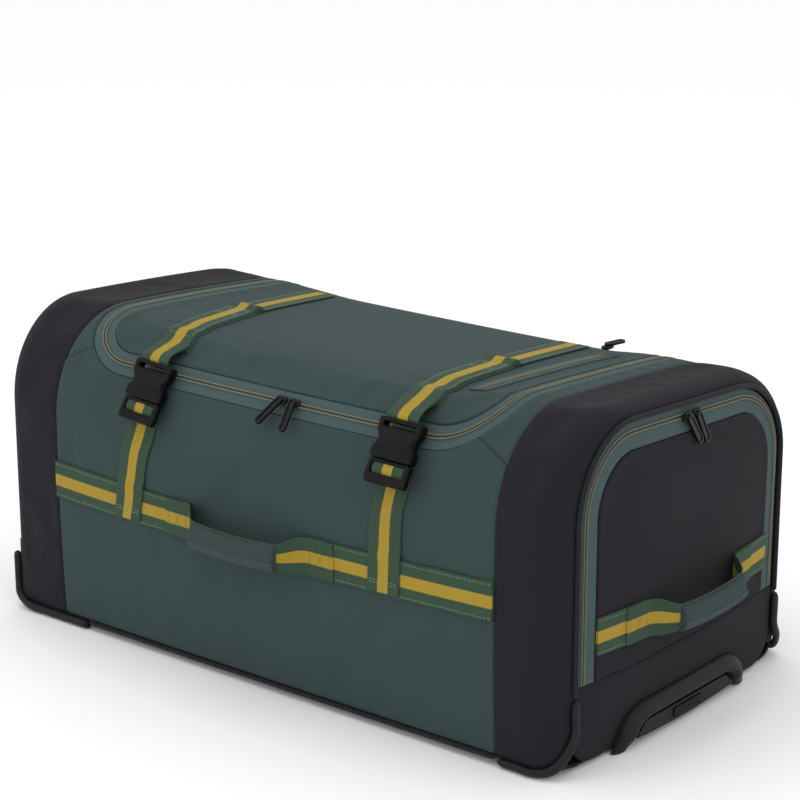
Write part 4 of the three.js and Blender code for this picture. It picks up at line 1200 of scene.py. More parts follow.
# %% Stitches
def stitch_row(points, outs, length=2.4, gap=0.8, radius=0.32, sink=0.1):
    """Many short threads along a path: returns points and faces of little capsules."""
    step = np.linalg.norm(np.diff(points, axis=0), axis=1)
    run = np.concatenate([[0], np.cumsum(step)]) / MM
    count = int(run[-1] // (length + gap))
    if count < 1:
        return np.zeros((0, 3)), np.zeros((0, 4), int)
    start = (run[-1] - count * (length + gap) + gap) / 2 + np.arange(count) * (length + gap)
    read = lambda s, table: np.stack([np.interp(s, run, table[:, k]) for k in range(3)], -1)
    a, b = read(start, points), read(start + length, points)
    out = unit(read(start + length / 2, outs))
    along = unit(b - a)
    side = np.cross(along, out)
    angles = np.linspace(0, 2 * np.pi, 6, endpoint=False)
    shares = np.array([0.0, 0.12, 0.5, 0.88, 1.0])
    sizes = np.array([0.45, 0.95, 1.1, 0.95, 0.45])
    lift = np.array([-0.5, 0.1, 0.35, 0.1, -0.5]) * radius - sink
    centre = a[:, None] + (b - a)[:, None] * shares[None, :, None]
    centre = centre + out[:, None] * lift[None, :, None] * MM
    spokes = side[:, None, None] * np.cos(angles)[None, None, :, None] \
        + out[:, None, None] * np.sin(angles)[None, None, :, None]
    rings = centre[:, :, None] + spokes * sizes[None, :, None, None] * radius * MM
    body = quads(5, 6, wrap=True)
    caps = np.array([[0, 1, 2, 3], [0, 3, 4, 5], [27, 26, 25, 24], [29, 28, 27, 24]])
    one = np.concatenate([body[:, ::-1], caps])
    faces = one[None] + (np.arange(count) * 30)[:, None, None]
    return rings.reshape(-1, 3), faces.reshape(-1, 4)


def sewn(name, rows, finish, slot, body="bag"):
    """One object from many stitch rows."""
    points, faces, start = [], [], 0
    for p, f in rows:
        points.append(p)
        faces.append(f + start)
        start += len(p)
    piece = mesh_from(name, np.concatenate(points), np.concatenate(faces).tolist(), sharp=80)
    return dress(piece, finish, slot, body)


def row_on(place, a, b, off, **kind):
    """Stitches along (a, b) on a surface, lying at height off."""
    points = place(a, b, off)
    return stitch_row(points, place(a, b, np.asarray(off) + 1) - points, **kind)


GOLD = {"length": 2.0, "gap": 0.7, "radius": 0.42}
GOLD_ROWS = (-1.75, 1.75)
EDGE_SEAM = {"length": 2.8, "gap": 1.6, "radius": 0.3}
STRAP_SEAM = {"length": 2.8, "gap": 1.4, "radius": 0.3}
BOX_SEAM = {"length": 2.2, "gap": 1.0, "radius": 0.3}
SEAM_ROWS = (-16.0, 16.0)
print("threads:", GOLD["radius"] * 2, "mm on zips and", EDGE_SEAM["radius"] * 2, "mm on webbing")

# %% Zip tapes and their rolls
ROLL_U = np.array([-3.0, -2.8, -2.2, -1.4, -0.8, -0.45, -0.3, 0.3, 0.45, 0.8, 1.4, 2.2, 2.8, 3.0])
ROLL_H = np.array([0.0, 0.45, 0.95, 1.05, 0.95, 0.6, 0.1, 0.1, 0.6, 0.95, 1.05, 0.95, 0.45, 0.0])
TEETH = moulded_finish("zip teeth", (0.012, 0.012, 0.013), 0.5, 2600.0, 0.00001)
GROOVE_HALF = 0.42
TAPE_EDGE = 0.6


def mark_teeth(piece):
    """The dark groove between the lips takes the teeth's finish."""
    piece.data.materials.append(TEETH)
    measure = piece.data.attributes["cloth"].data
    for polygon in piece.data.polygons:
        across = sum(measure[k].vector[0] for k in polygon.vertices) / len(polygon.vertices)
        polygon.material_index = 1 if abs(across) < GROOVE_HALF * MM else 0


def zip_pieces(name, line_of, place, middle=0.0):
    """Tape, lips and gold thread of one zip. line_of(u) is its line, moved sideways by u."""
    flat_half = TAPE_HALF - TAPE_EDGE
    tape_u = np.concatenate([[-TAPE_HALF], np.linspace(-flat_half, flat_half, 9), [TAPE_HALF]])
    rows = [line_of(u) for u in tape_u]
    a = np.stack([r[:, 0] for r in rows])
    b = np.stack([r[:, 1] for r in rows])
    outer_off = np.full(a.shape, -0.25)
    outer_off[[0, -1]] = -0.9
    run = np.concatenate([[0], np.cumsum(np.hypot(np.diff(a[5]), np.diff(b[5])))])
    flat = np.stack(np.broadcast_arrays(tape_u[:, None], run[None]), -1)
    tape = closed_sheet(f"cloth_{name}_zip_tape", place(a, b, outer_off), place(a, b, -WALL), flat)
    dress(tape, TAPE_CLOTH, "zip_tape", stands_for=(f"{name}_zip_tape",))
    rows = [line_of(middle + u) for u in ROLL_U]
    a = np.stack([r[:, 0] for r in rows])
    b = np.stack([r[:, 1] for r in rows])
    flat = np.stack(np.broadcast_arrays(ROLL_U[:, None], run[None]), -1)
    rise = np.broadcast_to(ROLL_H[:, None], a.shape)
    outer, inner = place(a, b, rise), place(a, b, -0.5)
    roll = closed_sheet(f"lips_{name}_zip_chain", outer, inner, flat, sharp=60)
    dress(roll, TAPE_CLOTH, "zip_metal", stands_for=(f"{name}_zip_chain",))
    mark_teeth(roll)
    gold = []
    for u in GOLD_ROWS:
        line = line_of(middle + u)
        gold.append(row_on(place, line[:, 0], line[:, 1], 1.05, **GOLD))
    sewn(f"gold_thread_{name}", gold, GOLD_THREAD, "zip_tape")
    print(name, "zip", round(run[-1]), "mm long")


zip_pieces("lid", lid_line, hull)


def arch_line(u):
    v = np.linspace(-SEAM_GIRTH + GAP, SEAM_GIRTH - GAP, 260)
    y, z = ring(v, END_ZIP_INSET + TAPE_HALF - u)
    return np.stack([y, z], 1)


zip_pieces("end", arch_line, pulled(1), middle=TAPE_HALF - END_CHAIN_INSET)

# %% Pocket zip
POCKET_X = LID_RIGHT - 50
POCKET_FRONT = -128.0
POCKET_BACK = 100.0


def pocket_surface(x, v, off=0.0):
    return hull(x, v, off + LAY)


POCKET_U = np.array([-10, -9.6, -8.6, -5, -3.0, -2.8, -2.2, -1.4, -0.8, -0.45, -0.3,
                     0.3, 0.45, 0.8, 1.4, 2.2, 2.8, 3.0, 5, 8.6, 9.6, 10.0])
POCKET_H = np.array([0.2, 0.9, 1.3, 0.9, 0.6, 1.0, 1.4, 1.5, 1.4, 0.9, 0.3,
                     0.3, 0.9, 1.4, 1.5, 1.4, 1.0, 0.6, 0.9, 1.3, 0.9, 0.2])
vs = POCKET_FRONT + lines(POCKET_BACK - POCKET_FRONT, 4.0)
u, v = np.meshgrid(POCKET_U, vs, indexing="ij")
rise = np.broadcast_to(POCKET_H[:, None], u.shape)
pocket = closed_sheet("cloth_pocket_zip", pocket_surface(POCKET_X + u, v, rise),
                      pocket_surface(POCKET_X + u, v, -0.4), np.stack([u, v], -1), sharp=60)
dress(pocket, TAPE_CLOTH, "zip_tape", stands_for=("pocket_zip",))
mark_teeth(pocket)
fine_v = np.linspace(POCKET_FRONT + 2, POCKET_BACK - 2, 120)
sewn("gold_thread_pocket", [
    row_on(pocket_surface, np.full(120, POCKET_X + u), fine_v, 1.5, **GOLD) for u in GOLD_ROWS
], GOLD_THREAD, "zip_tape")
print("pocket zip done")

# %% [markdown]
# ## Webbing
# Flat straps are modelled directly, because a remesh would erase them. Each one is a sheet
# whose height can change along its run, so it climbs over what it crosses. Two rows of pale
# thread run inside its edges where it is sewn down.

# %% Straps and bands
WEB_U = np.array([-19, -18.8, -18.2, -17, -12, -6, 0, 6, 12, 17, 18.2, 18.8, 19.0])
WEB_H = np.array([-0.75, -0.35, -0.08, 0, 0, 0, 0, 0, 0, 0, -0.08, -0.35, -0.75])
WEB_L = np.array([0.75, 0.35, 0.08, 0, 0, 0, 0, 0, 0, 0, 0.08, 0.35, 0.75])


def web_sheet(name, place, centre, along, low, thick=WEB_THICK, vertical=True):
    """Strap along a line of stations. centre and along are its line; low is its underside."""
    u = WEB_U[:, None]
    zero = np.zeros_like(u)
    if vertical:
        a, b = centre[None] + u, along[None] + zero
    else:
        a, b = along[None] + zero, centre[None] + u
    outer = place(a, b, low[None] + thick + WEB_H[:, None])
    inner = place(a, b, low[None] + WEB_L[:, None])
    middle = outer[len(WEB_U) // 2]
    run = np.concatenate([[0], np.cumsum(np.linalg.norm(np.diff(middle, axis=0), axis=1))]) / MM
    flat = np.stack(np.broadcast_arrays(WEB_U[:, None] + zero, run[None]), -1)
    return closed_sheet(name, outer, inner, flat, sharp=50)


BAND_TOP = LAY + WEB_THICK
OVER_BAND = BAND_TOP + LAY
HALF_SPAN = 77.0
SEWN = 35.0
END_HALF = HALF_DEPTH - HOOP - ZIP_IN - GAP


def joined(name, pieces):
    """One object from several, keeping their cloth measure."""
    with bpy.context.temp_override(active_object=pieces[0], selected_editable_objects=pieces):
        bpy.ops.object.join()
    pieces[0].name = name
    return pieces[0]


def sewn_band(name, place, at, first, last, node):
    """Two lengths of webbing that stop at the handle's ends, with a row of thread in each edge."""
    halves, rows = [], []
    for start, stop in ((first, -HALF_SPAN - 4), (HALF_SPAN + 4, last)):
        along = start + lines(stop - start, 4.0)
        line, low = np.full(len(along), at), np.full(len(along), 0.1)
        halves.append(web_sheet(name, place, line, along, low, thick=BAND_TOP - 0.1, vertical=False))
        for u in SEAM_ROWS:
            rows.append(row_on(place, along, line + u, BAND_TOP, **EDGE_SEAM))
    dress(joined(name, halves), WEBBING, "webbing", stands_for=(node,))
    sewn(f"thread_{node}", rows, PALE_THREAD, "webbing")


sewn_band("web_front_band", hull, FRONT_V, EDGE_X["left"], EDGE_X["right"], "front_band")
for end, side in (("left", -1), ("right", 1)):
    sewn_band(f"web_end_band_{end}", pulled(side), END_BAND_Z, -END_HALF, END_HALF, f"end_band_{end}")
print("bands done")


# %% Lines of the compression straps
def strap_at(places, v):
    """How far along the bag a strap's middle is at girth v."""
    rows = [TAIL_V, BUCKLE_V, LID_FRONT, -RUN_TOP / 4, STRAP_BACK]
    line = [places[key] for key in ("tail", "buckle", "buckle", "lid", "end")]
    return np.interp(v, rows, line)


def ramp(x, start, length):
    t = np.clip((x - start) / length, 0, 1)
    return t * t * (3 - 2 * t)


BAND_EDGE = FRONT_V + WEB_HALF
LOOP_V = -24.0
SLOT_V = LID_FRONT + 1.0


def bell(x, middle, width):
    return np.exp(-((x - middle) / width) ** 2)


def lower_rise(v):
    """Underside of the lower strap: over the band, then down on the front panel."""
    return OVER_BAND - 0.5 + (LAY + 0.4 - OVER_BAND) * ramp(v, BAND_EDGE + 1, 9)


def upper_rise(v):
    """Underside of the upper strap: up over the buckle's bar and the zip, then down on the lid."""
    over_bar = (BUCKLE_LIFT + 10.5) * (1 - ramp(v, SLOT_V + 4, 38))
    over_bar = over_bar - 6.0 * (1 - ramp(v, SLOT_V - 1, 5))
    return LAY + 0.8 * (1 - ramp(v, LID_FRONT + 12, 14)) + over_bar


def upper_thick(v):
    """The strap is double from the zip to its folded loop, and single behind it."""
    double = 1.6 * ramp(v, LID_FRONT + 18, 8) * (1 - ramp(v, LOOP_V + 4, 6))
    return WEB_THICK + double + 4.6 * bell(v, LOOP_V, 7.0)


print("straps from", round(TAIL_V), "to", round(STRAP_BACK), "mm of girth")

# %% The compression straps
SEWN_FRONT = -148.0
SEWN_BACK = -62.0
LOOP_CLEAR = 12.0
UNDER_SHIFT = 1.6


def strap_rows(places, v, u, rise):
    """A row of stitches on a strap, u to the side of its middle."""
    v = np.asarray(v, float)
    return row_on(hull, strap_at(places, v) + u, v, rise(v), **STRAP_SEAM)


for name, places in STRAPS.items():
    vs = TAIL_V + lines(BUCKLE_V - 8 - TAIL_V, 3.5)
    lower = web_sheet(f"web_strap_lower_{name}", hull, strap_at(places, vs), vs, lower_rise(vs))
    dress(lower, WEBBING, "webbing", stands_for=(f"strap_lower_{name}",))
    vs = SLOT_V + lines(STRAP_BACK - SLOT_V, 3.0)
    line, low, thick = strap_at(places, vs), upper_rise(vs), upper_thick(vs)
    upper = web_sheet(f"web_strap_upper_{name}", hull, line, vs, low, thick=thick)
    dress(upper, WEBBING, "webbing", stands_for=(f"strap_upper_{name}",))
    vs = LID_FRONT + 30 + lines(LOOP_V - LID_FRONT - 34, 3.0)
    line, low = strap_at(places, vs) + UNDER_SHIFT, np.full(len(vs), 0.2)
    under = web_sheet(f"web_strap_under_{name}", hull, line, vs, low, thick=1.6)
    dress(under, WEBBING, "webbing")
    tail = lambda v: lower_rise(v) + WEB_THICK
    lid = lambda v: upper_rise(v) + upper_thick(v)
    before, behind = LOOP_V - LOOP_CLEAR, LOOP_V + LOOP_CLEAR
    across = np.linspace(-17, 17, 20)
    rows = [strap_rows(places, np.full(20, TAIL_V + d), across, tail) for d in (9, 12)]
    for u in SEAM_ROWS:
        rows.append(strap_rows(places, np.linspace(SEWN_FRONT, before, 90), u, lid))
        rows.append(strap_rows(places, np.linspace(behind, STRAP_BACK - 2, 90), u, lid))
    for v in (SEWN_FRONT, SEWN_BACK, before, behind):
        rows.append(strap_rows(places, np.full(20, v), np.linspace(-16, 16, 20), lid))
    for s in (-1, 1):
        crossing = s * np.linspace(-15, 15, 20)
        rows.append(strap_rows(places, np.linspace(SEWN_BACK, before, 20), crossing, lid))
    sewn(f"thread_strap_{name}", rows, PALE_THREAD, "webbing")
print("straps done")

# %% [markdown]
# ## Buckles
# A side-release buckle has a broad female half and a male half whose ladder bars hold the
# strap. The outlines are drawn flat, cut with their slots, and given soft edges. The plates
# stand on the skin through a frame with its own along, up and out directions.

# %% Frames on the bag
def frame_on(place, a, b, off, turn=0.0, up=(0.0, 6.0)):
    """Matrix at a point of a surface: X along, Y up the surface, Z out of it."""
    origin = place(a, b, off)
    rise = unit(place(a + up[0], b + up[1], off) - place(a - up[0], b - up[1], off))
    out = unit(place(a, b, off + 1) - origin)
    along = unit(np.cross(rise, out))
    up_axis = np.cross(out, along)
    basis = Matrix((along, up_axis, out)).transposed().to_4x4()
    return Matrix.Translation(Vector(origin)) @ basis @ Matrix.Rotation(math.radians(turn), 4, "Z")


middle_seat = frame_on(skin, 0.0, LID_FRONT, 0.0)
print("frame at the lid's front edge", [round(c, 3) for c in middle_seat.translation])

# %% Buckle shapes
FEMALE = 40.0
MALE = 24.0
BUCKLE_HALF = 25.0
BUCKLE_THICK = 11.0


def curve_points(a, control, b, count=8):
    t = np.linspace(0, 1, count)[:, None]
    a, control, b = (np.asarray(p, float) for p in (a, control, b))
    return ((1 - t) ** 2 * a + 2 * t * (1 - t) * control + t**2 * b).tolist()


def female_outline():
    """Waisted outline of the broad half, with its wide end up."""
    w, f = BUCKLE_HALF, FEMALE
    right = [
        *curve_points((w - 3, 0), (w, 0), (w, 4)),
        *curve_points((w, f * 0.26), (w - 9, f * 0.44), (w, f * 0.64), 14),
        *curve_points((w + 1, f - 4), (w + 1, f), (w - 3, f)),
    ]
    return right + [(-x, y) for x, y in reversed(right)]


def female_half():
    """Shell with the strap's slot, a rib at its mouth, and the two prongs seen in its sides."""
    slot = rounded_rect(WEB_HALF * 2 + 1.5, 4.6, 1.5, (0, FEMALE - 6.5))
    shell = plate([female_outline(), slot], BUCKLE_THICK, 1.5)
    rib = plate([rounded_rect(30, 1.2, 0.5, (0, 3.2))], 0.7, 0.2)
    rib.transform(Matrix.Translation((0, 0, BUCKLE_THICK - 0.25)))
    w, f = BUCKLE_HALF, FEMALE
    bulge = curve_points((w - 1.4, f * 0.24), (w - 3.4, f * 0.45), (w - 1.8, f * 0.6))
    outline = [(w - 7.5, f * 0.22), *bulge, (w - 7.5, f * 0.66)]
    prongs = []
    for s in (-1, 1):
        prong = plate([[(s * x, y) for x, y in outline]], BUCKLE_THICK - 4.4, 0.8)
        prong.transform(Matrix.Translation((0, 0, 2.2)))
        prongs.append(prong)
    return [shell, rib, *prongs]


def male_half():
    """Ladder frame with one long slot, and the lip at its lower edge."""
    middle = -MALE / 2 - GAP
    frame_plate = plate([
        rounded_rect(BUCKLE_HALF * 2, MALE, 3.5, (0, middle)),
        rounded_rect(WEB_HALF * 2 + 2, 10.5, 1.5, (0, middle + 3.0)),
    ], BUCKLE_THICK - 4, 1.3)
    frame_plate.transform(Matrix.Translation((0, 0, 2)))
    low_edge = middle - MALE / 2 + 2.0
    lip = plate([rounded_rect(WEB_HALF * 2 + 4, 2.2, 1.0, (0, low_edge))], 2.4, 0.7)
    lip.transform(Matrix.Translation((0, 0, BUCKLE_THICK - 3.4)))
    return [frame_plate, lip]


print("buckles", 2 * BUCKLE_HALF, "mm wide and", FEMALE + MALE + GAP, "mm long")

# %% Buckles in place
BUCKLE_DOWN = -6.0
SEAT_REACH = 25

for name, places in STRAPS.items():
    run = LID_FRONT + SEAT_REACH - TAIL_V
    lean = math.degrees(math.atan2(places["buckle"] - places["tail"], run)) / 2
    seat = frame_on(skin, places["buckle"], BUCKLE_V, BUCKLE_LIFT, -lean)
    shift = Matrix.Translation((0, BUCKLE_DOWN * MM, 0))
    female = fused(f"buckle_top_{name}", female_half(), seat @ shift)
    dress(female, BUCKLE_PLASTIC, "buckle", stands_for=(f"buckle_female_{name}",))
    male = fused(f"buckle_bar_{name}", male_half(), seat @ shift)
    dress(male, BUCKLE_PLASTIC, "buckle", stands_for=(f"buckle_male_{name}",))
    t = np.linspace(0, 1, 25)
    path_y = BUCKLE_DOWN - GAP - 1.0 - 14.6 * t
    path_z = 5.2 + 3.4 * np.sin(np.pi * t) ** 0.6
    u, y = np.meshgrid(WEB_U, path_y, indexing="ij")
    z = np.broadcast_to(path_z, u.shape)
    local = np.stack([u * 0.98, y, z + WEB_H[:, None] * 0.6], -1)
    under = local - np.array([0, 0, 1.3])
    matrix = np.array(seat @ Matrix.Scale(MM, 4))
    put = lambda p: p @ matrix[:3, :3].T + matrix[:3, 3]
    flat = np.stack([u, y], -1)
    loop = closed_sheet(f"web_buckle_loop_{name}", put(local), put(under), flat, sharp=50)
    dress(loop, WEBBING, "webbing")
print("buckles done")

# %% [markdown]
# ## Sliders and pulls
# The sliders are small dark castings, and each carries a flat cord pull moulded with a raised
# rim. The pull is a thin plate with a ring on it, hung at the angle it has in the photograph.

# %% Sliders
SLIDER_LONG = 14.0
SLIDER_WIDE = 9.0
SLIDER_TALL = 4.5
PULL_LONG = 40.0
PULL_WIDE = 8.4
PULL_THICK = 3.0


def slider_meshes(long, turn):
    """Body and bridge of a slider, and its pull: a thin tab with a raised rim, hung at turn."""
    body = plate([rounded_rect(SLIDER_LONG, SLIDER_WIDE, 3.0)], SLIDER_TALL - 1.2, 1.0)
    bridge = plate([rounded_rect(SLIDER_LONG - 4, 3.4, 1.5)], 2.2, 0.8)
    bridge.transform(Matrix.Translation((0, 0, SLIDER_TALL - 1.9)))
    tab = plate([rounded_rect(PULL_WIDE, long, PULL_WIDE * 0.45)], PULL_THICK - 1.0, 0.5)
    rim = plate([
        rounded_rect(PULL_WIDE, long, PULL_WIDE * 0.45),
        rounded_rect(PULL_WIDE - 3.6, long - 4.4, (PULL_WIDE - 3.6) * 0.45),
    ], PULL_THICK, 0.45)
    hang = Matrix.Rotation(math.radians(turn), 4, "Z") @ Matrix.Translation(
        (0, -long / 2 + PULL_WIDE / 3, SLIDER_TALL - PULL_THICK / 2))
    tab.transform(hang)
    rim.transform(hang)
    return [body, bridge, tab, rim]


SLIDER_LIFT = LAY + CHAIN_RISE + LAY
SLIDER_X = 30.0
APART = 16.0
end_face = dome(1)
slider_z = float(ring(0.0, END_ZIP_INSET + END_CHAIN_INSET)[1])
pocket_v = POCKET_BACK - APART / 2
pocket_lift = BAND_TOP + CHAIN_RISE + 0.5
short = PULL_LONG - 3
sliders = {
    "lid_slider_left": (skin, SLIDER_X - APART / 2, LID_FRONT, SLIDER_LIFT, 0.0, short, -24),
    "lid_slider_right": (skin, SLIDER_X + APART / 2, LID_FRONT, SLIDER_LIFT, 0.0, short, 8),
    "pocket_slider": (skin, POCKET_X, pocket_v, pocket_lift, 90, PULL_LONG * 0.65, 78),
    "end_slider_front": (end_face, -APART / 2, slider_z, SLIDER_LIFT, 0.0, PULL_LONG, 37),
    "end_slider_back": (end_face, APART / 2, slider_z, SLIDER_LIFT, 0.0, PULL_LONG, 31),
}
for name, (place, a, b, lift, turn, long, hang) in sliders.items():
    seat = frame_on(place, a, b, lift, turn)
    piece = fused(f"pull_{name}", slider_meshes(long, hang), seat)
    dress(piece, SLIDER_METAL, "zip_metal", stands_for=(name,))
print("sliders done")

# %% [markdown]
# ## Carry handles
# The handle is a length of the same webbing, sewn to the band at both ends and standing off
# in the middle, where a padded cloth wrap is folded round it. The webbing is a direct sheet.
# The wrap is padded, so it is a closed form blown up by a short cloth run.

# %% Padding
PUFF_PRESSURE = 4
PUFF_STRETCH = 20


def puffed(piece, voxel, most):
    """Remesh, blow up with a little pressure, and keep every point within most millimetres."""
    remesh = piece.modifiers.new("remesh", "REMESH")
    remesh.mode = "VOXEL"
    remesh.voxel_size = voxel * MM
    ready = piece.evaluated_get(bpy.context.evaluated_depsgraph_get())
    data = bpy.data.meshes.new_from_object(ready)
    piece.modifiers.clear()
    piece.data = data
    before = np.empty(len(data.vertices) * 3)
    data.vertices.foreach_get("co", before)
    before = before.reshape(-1, 3)
    cloth = piece.modifiers.new("cloth", "CLOTH")
    cloth.settings.use_pressure = True
    cloth.settings.uniform_pressure_force = PUFF_PRESSURE
    cloth.settings.tension_stiffness = PUFF_STRETCH
    cloth.settings.effector_weights.gravity = 0
    shift = run_cloth(piece) - before
    piece.modifiers.clear()
    size = np.linalg.norm(shift, axis=1, keepdims=True)
    shift *= np.minimum(1, most * MM / np.maximum(size, 1e-9))
    data.vertices.foreach_set("co", (before + shift).ravel())
    data.shade_smooth()
    print(piece.name, "padded, moved up to", round(float(size.max()) / MM, 2), "mm before the cap")


print("padding: pressure", PUFF_PRESSURE, "over", CLOTH_FRAMES, "frames")

# %% Webbing and stitches of a handle
RAMP = 8.0
GRIP_HALF = 57.0
GRIP_HEIGHT = 26.0
GRIP_THICK = 13.0
GRIP_LIFT = 13.0
GRIP_BOW = 3.5
GRIP_HANG = 0.8
GRIP_BACK = OVER_BAND + GRIP_LIFT
GRIP_MID = GRIP_BACK + GRIP_THICK / 2
SEWN_LOW = OVER_BAND - 0.6
HANDLE_NARROW = 0.3


def bow(p):
    """A carry handle stands out a little more in its middle, and hangs as much lower."""
    return GRIP_BOW * np.clip(1 - (p / (GRIP_HALF + 14)) ** 2, 0, 1)


def handle_webbing(name, place, at):
    """One strap, sewn down at both ends and lifted off the band between them."""
    stations = [-HALF_SPAN - SEWN, -HALF_SPAN, RAMP - HALF_SPAN, -GRIP_HALF - 3, 4 - GRIP_HALF, 0]
    p = -HALF_SPAN - SEWN + lines(2 * (HALF_SPAN + SEWN), 2.5)
    level = np.interp(-np.abs(p), stations, [0, 0, 0.45, 0.95, 1, 1])
    kernel = np.exp(-np.linspace(-2, 2, 7) ** 2)
    level = np.convolve(np.pad(level, 3, mode="edge"), kernel / kernel.sum(), mode="valid")
    low = SEWN_LOW + (GRIP_MID - WEB_THICK / 2 - SEWN_LOW) * level + bow(p)
    narrow = 1 - HANDLE_NARROW * ramp(-np.abs(p), -GRIP_HALF - 16, 18)
    u = WEB_U[:, None] * narrow[None]
    hang = at + u - GRIP_HANG * bow(p)[None]
    along = p[None] + 0 * u
    outer = place(along, hang, low[None] + WEB_THICK + WEB_H[:, None])
    inner = place(along, hang, low[None] + WEB_L[:, None])
    flat = np.stack(np.broadcast_arrays(WEB_U[:, None] + 0 * u, along), -1)
    strap = closed_sheet(f"web_{name}", outer, inner, flat, sharp=50)
    dress(strap, WEBBING, "webbing", stands_for=(f"{name}_webbing",))


def handle_stitches(name, place, at):
    """A box of thread with a cross in it, at both sewn ends."""
    top = SEWN_LOW + WEB_THICK
    rows = []
    for s in (-1, 1):
        near, far = s * (HALF_SPAN + 6.0), s * (HALF_SPAN + SEWN - 4.0)
        across = np.linspace(-16, 16, 24)
        for p_at in (near, far):
            rows.append(row_on(place, np.full(24, p_at), at + across, top, **BOX_SEAM))
        for d in (-1, 1):
            crossing = np.linspace(near + s * 7, far - s * 7, 24)
            rows.append(row_on(place, crossing, at + d * across * 0.62, top, **BOX_SEAM))
            edge, side = np.linspace(near, far, 24), np.full(24, at + d * 16.0)
            rows.append(row_on(place, edge, side, top, length=2.6, gap=1.4, radius=0.3))
    sewn(f"thread_{name}", rows, DARK_THREAD, "webbing")


print("handle sewn over", SEWN, "mm at each end")

# %% The padded grip
GRIP_ROUND = 0.9
GRIP_SQUEEZE = 0.12
GRIP_VOXEL = 2.2
GRIP_MOST = 1.5
half_h = GRIP_HEIGHT / 2 - 0.4
half_t = GRIP_THICK / 2 + 0.4


def grip_mesh(name, place, at):
    """Closed form of a grip: rounded sections along a slightly bowed line."""
    s = np.linspace(-GRIP_HALF, GRIP_HALF, 47)
    angle = np.linspace(0, 2 * np.pi, 36, endpoint=False)
    c, q = np.cos(angle), np.sin(angle)
    across = half_h * np.sign(c) * np.abs(c) ** GRIP_ROUND
    depth = half_t * np.sign(q) * np.abs(q) ** GRIP_ROUND
    squeeze = 1 - GRIP_SQUEEZE * np.exp(-((GRIP_HALF - np.abs(s)) / 5) ** 2)[:, None]
    bent = bow(s)[:, None]
    side = at - GRIP_HANG * bent + across[None] * squeeze**0.4
    rows = place(s[:, None] + 0 * across[None], side, GRIP_MID + bent + depth[None] * squeeze)
    points = np.concatenate([rows.reshape(-1, 3), [rows[0].mean(0), rows[-1].mean(0)]])
    k = len(angle)
    faces = outward(points, quads(len(s), k, wrap=True))
    around = np.arange(k)
    after = (around + 1) % k
    end = (len(s) - 1) * k
    first = np.stack([np.full(k, len(points) - 2), around, after], 1)
    last = np.stack([np.full(k, len(points) - 1), after + end, around + end], 1)
    data = bpy.data.meshes.new(f"grip_{name}")
    data.from_pydata(points.tolist(), [], faces.tolist() + first.tolist() + last.tolist())
    shape = bmesh.new()
    shape.from_mesh(data)
    bmesh.ops.recalc_face_normals(shape, faces=shape.faces)
    shape.to_mesh(data)
    shape.free()
    return data


def grip_fold(name, place, at):
    """The free edge of the cloth that is folded round the grip."""
    s = np.linspace(-GRIP_HALF, GRIP_HALF, 47)[None]
    turn = np.radians(np.linspace(108, 215, 17))[:, None]
    ease = np.sin(np.linspace(0, np.pi, 17))[:, None] ** 0.25
    sides = []
    for grow in (0.6 + 1.5 * ease, -1.0 + 0 * ease):
        side = at - GRIP_HANG * bow(s) + (half_h + grow) * np.cos(turn)
        rise = GRIP_MID + bow(s) + (half_t + grow) * np.sin(turn)
        sides.append(place(s * 0.995 + 0 * turn, side, rise))
    flat = np.stack(np.broadcast_arrays(turn * half_h, s), -1)
    dress(closed_sheet(f"fold_{name}", *sides, flat), GRIP_CLOTH, "grip_cloth")


print("grips", 2 * GRIP_HALF, "by", GRIP_HEIGHT, "by", GRIP_THICK, "mm")


# %% Handles in place
def handle(name, place, at):
    """Webbing, stitches, padded grip and its fold, at girth or height at."""
    handle_webbing(name, place, at)
    handle_stitches(name, place, at)
    grip = new_object(f"grip_{name}", grip_mesh(name, place, at))
    puffed(grip, GRIP_VOXEL, GRIP_MOST)
    dress(grip, GRIP_CLOTH, "grip_cloth", stands_for=(f"{name}_grip",))
    grip_fold(name, place, at)
    soften = grip.modifiers.new("soften", "SUBSURF")
    soften.levels = 1
    soften.render_levels = 1


handle("front_handle", hull, FRONT_V)
handle("end_handle_left", pulled(-1), END_BAND_Z)
handle("end_handle_right", pulled(1), END_BAND_Z)
print("handles done")

# %% [markdown]
# ## Piping, guards and rims
# Piping is a soft cord in a cloth sleeve, sewn into the seams. The guards and rims are stiff
# mouldings over the bottom corners. All are sweeps along a line on the skin.


# %% Piping
def line_on(x, v, off):
    """A line of points on the skin, with the direction out of it at each one."""
    x, v = np.broadcast_arrays(np.asarray(x, float), np.asarray(v, float))
    path = skin(x, v, off)
    return path, skin(x, v, off + 1) - path


RIM_REACH = 119.0
GUARD_REACH = 66.0
GUARD_HEIGHT = 78.0
BASE_CORD = 2.2
END_CORD = 2.6
for name, side in (("front", -1), ("back", 1)):
    x = np.linspace(RIM_REACH - HALF_LENGTH + 2, HALF_LENGTH - GUARD_REACH - 2, 160)
    path, outs = line_on(x, side * SEAM_V, BASE_CORD + GAP)
    piece = sweep(f"cord_base_{name}", path, outs, round_outline(BASE_CORD, BASE_CORD, 14))
    dress(piece, PIPING_CLOTH, "moulding", stands_for=(f"base_piping_{name}",))
foot = girth_at(HALF_LENGTH, GUARD_HEIGHT) - 1
for end, s in (("left", -1), ("right", 1)):
    path, outs = line_on(s * HALF_LENGTH, np.linspace(-foot, foot, 320), END_CORD + GAP)
    piece = sweep(f"cord_end_{end}", path, outs, round_outline(END_CORD, END_CORD, 14))
    dress(piece, PIPING_CLOTH, "moulding", stands_for=(f"end_piping_{end}",))

print("piping done")


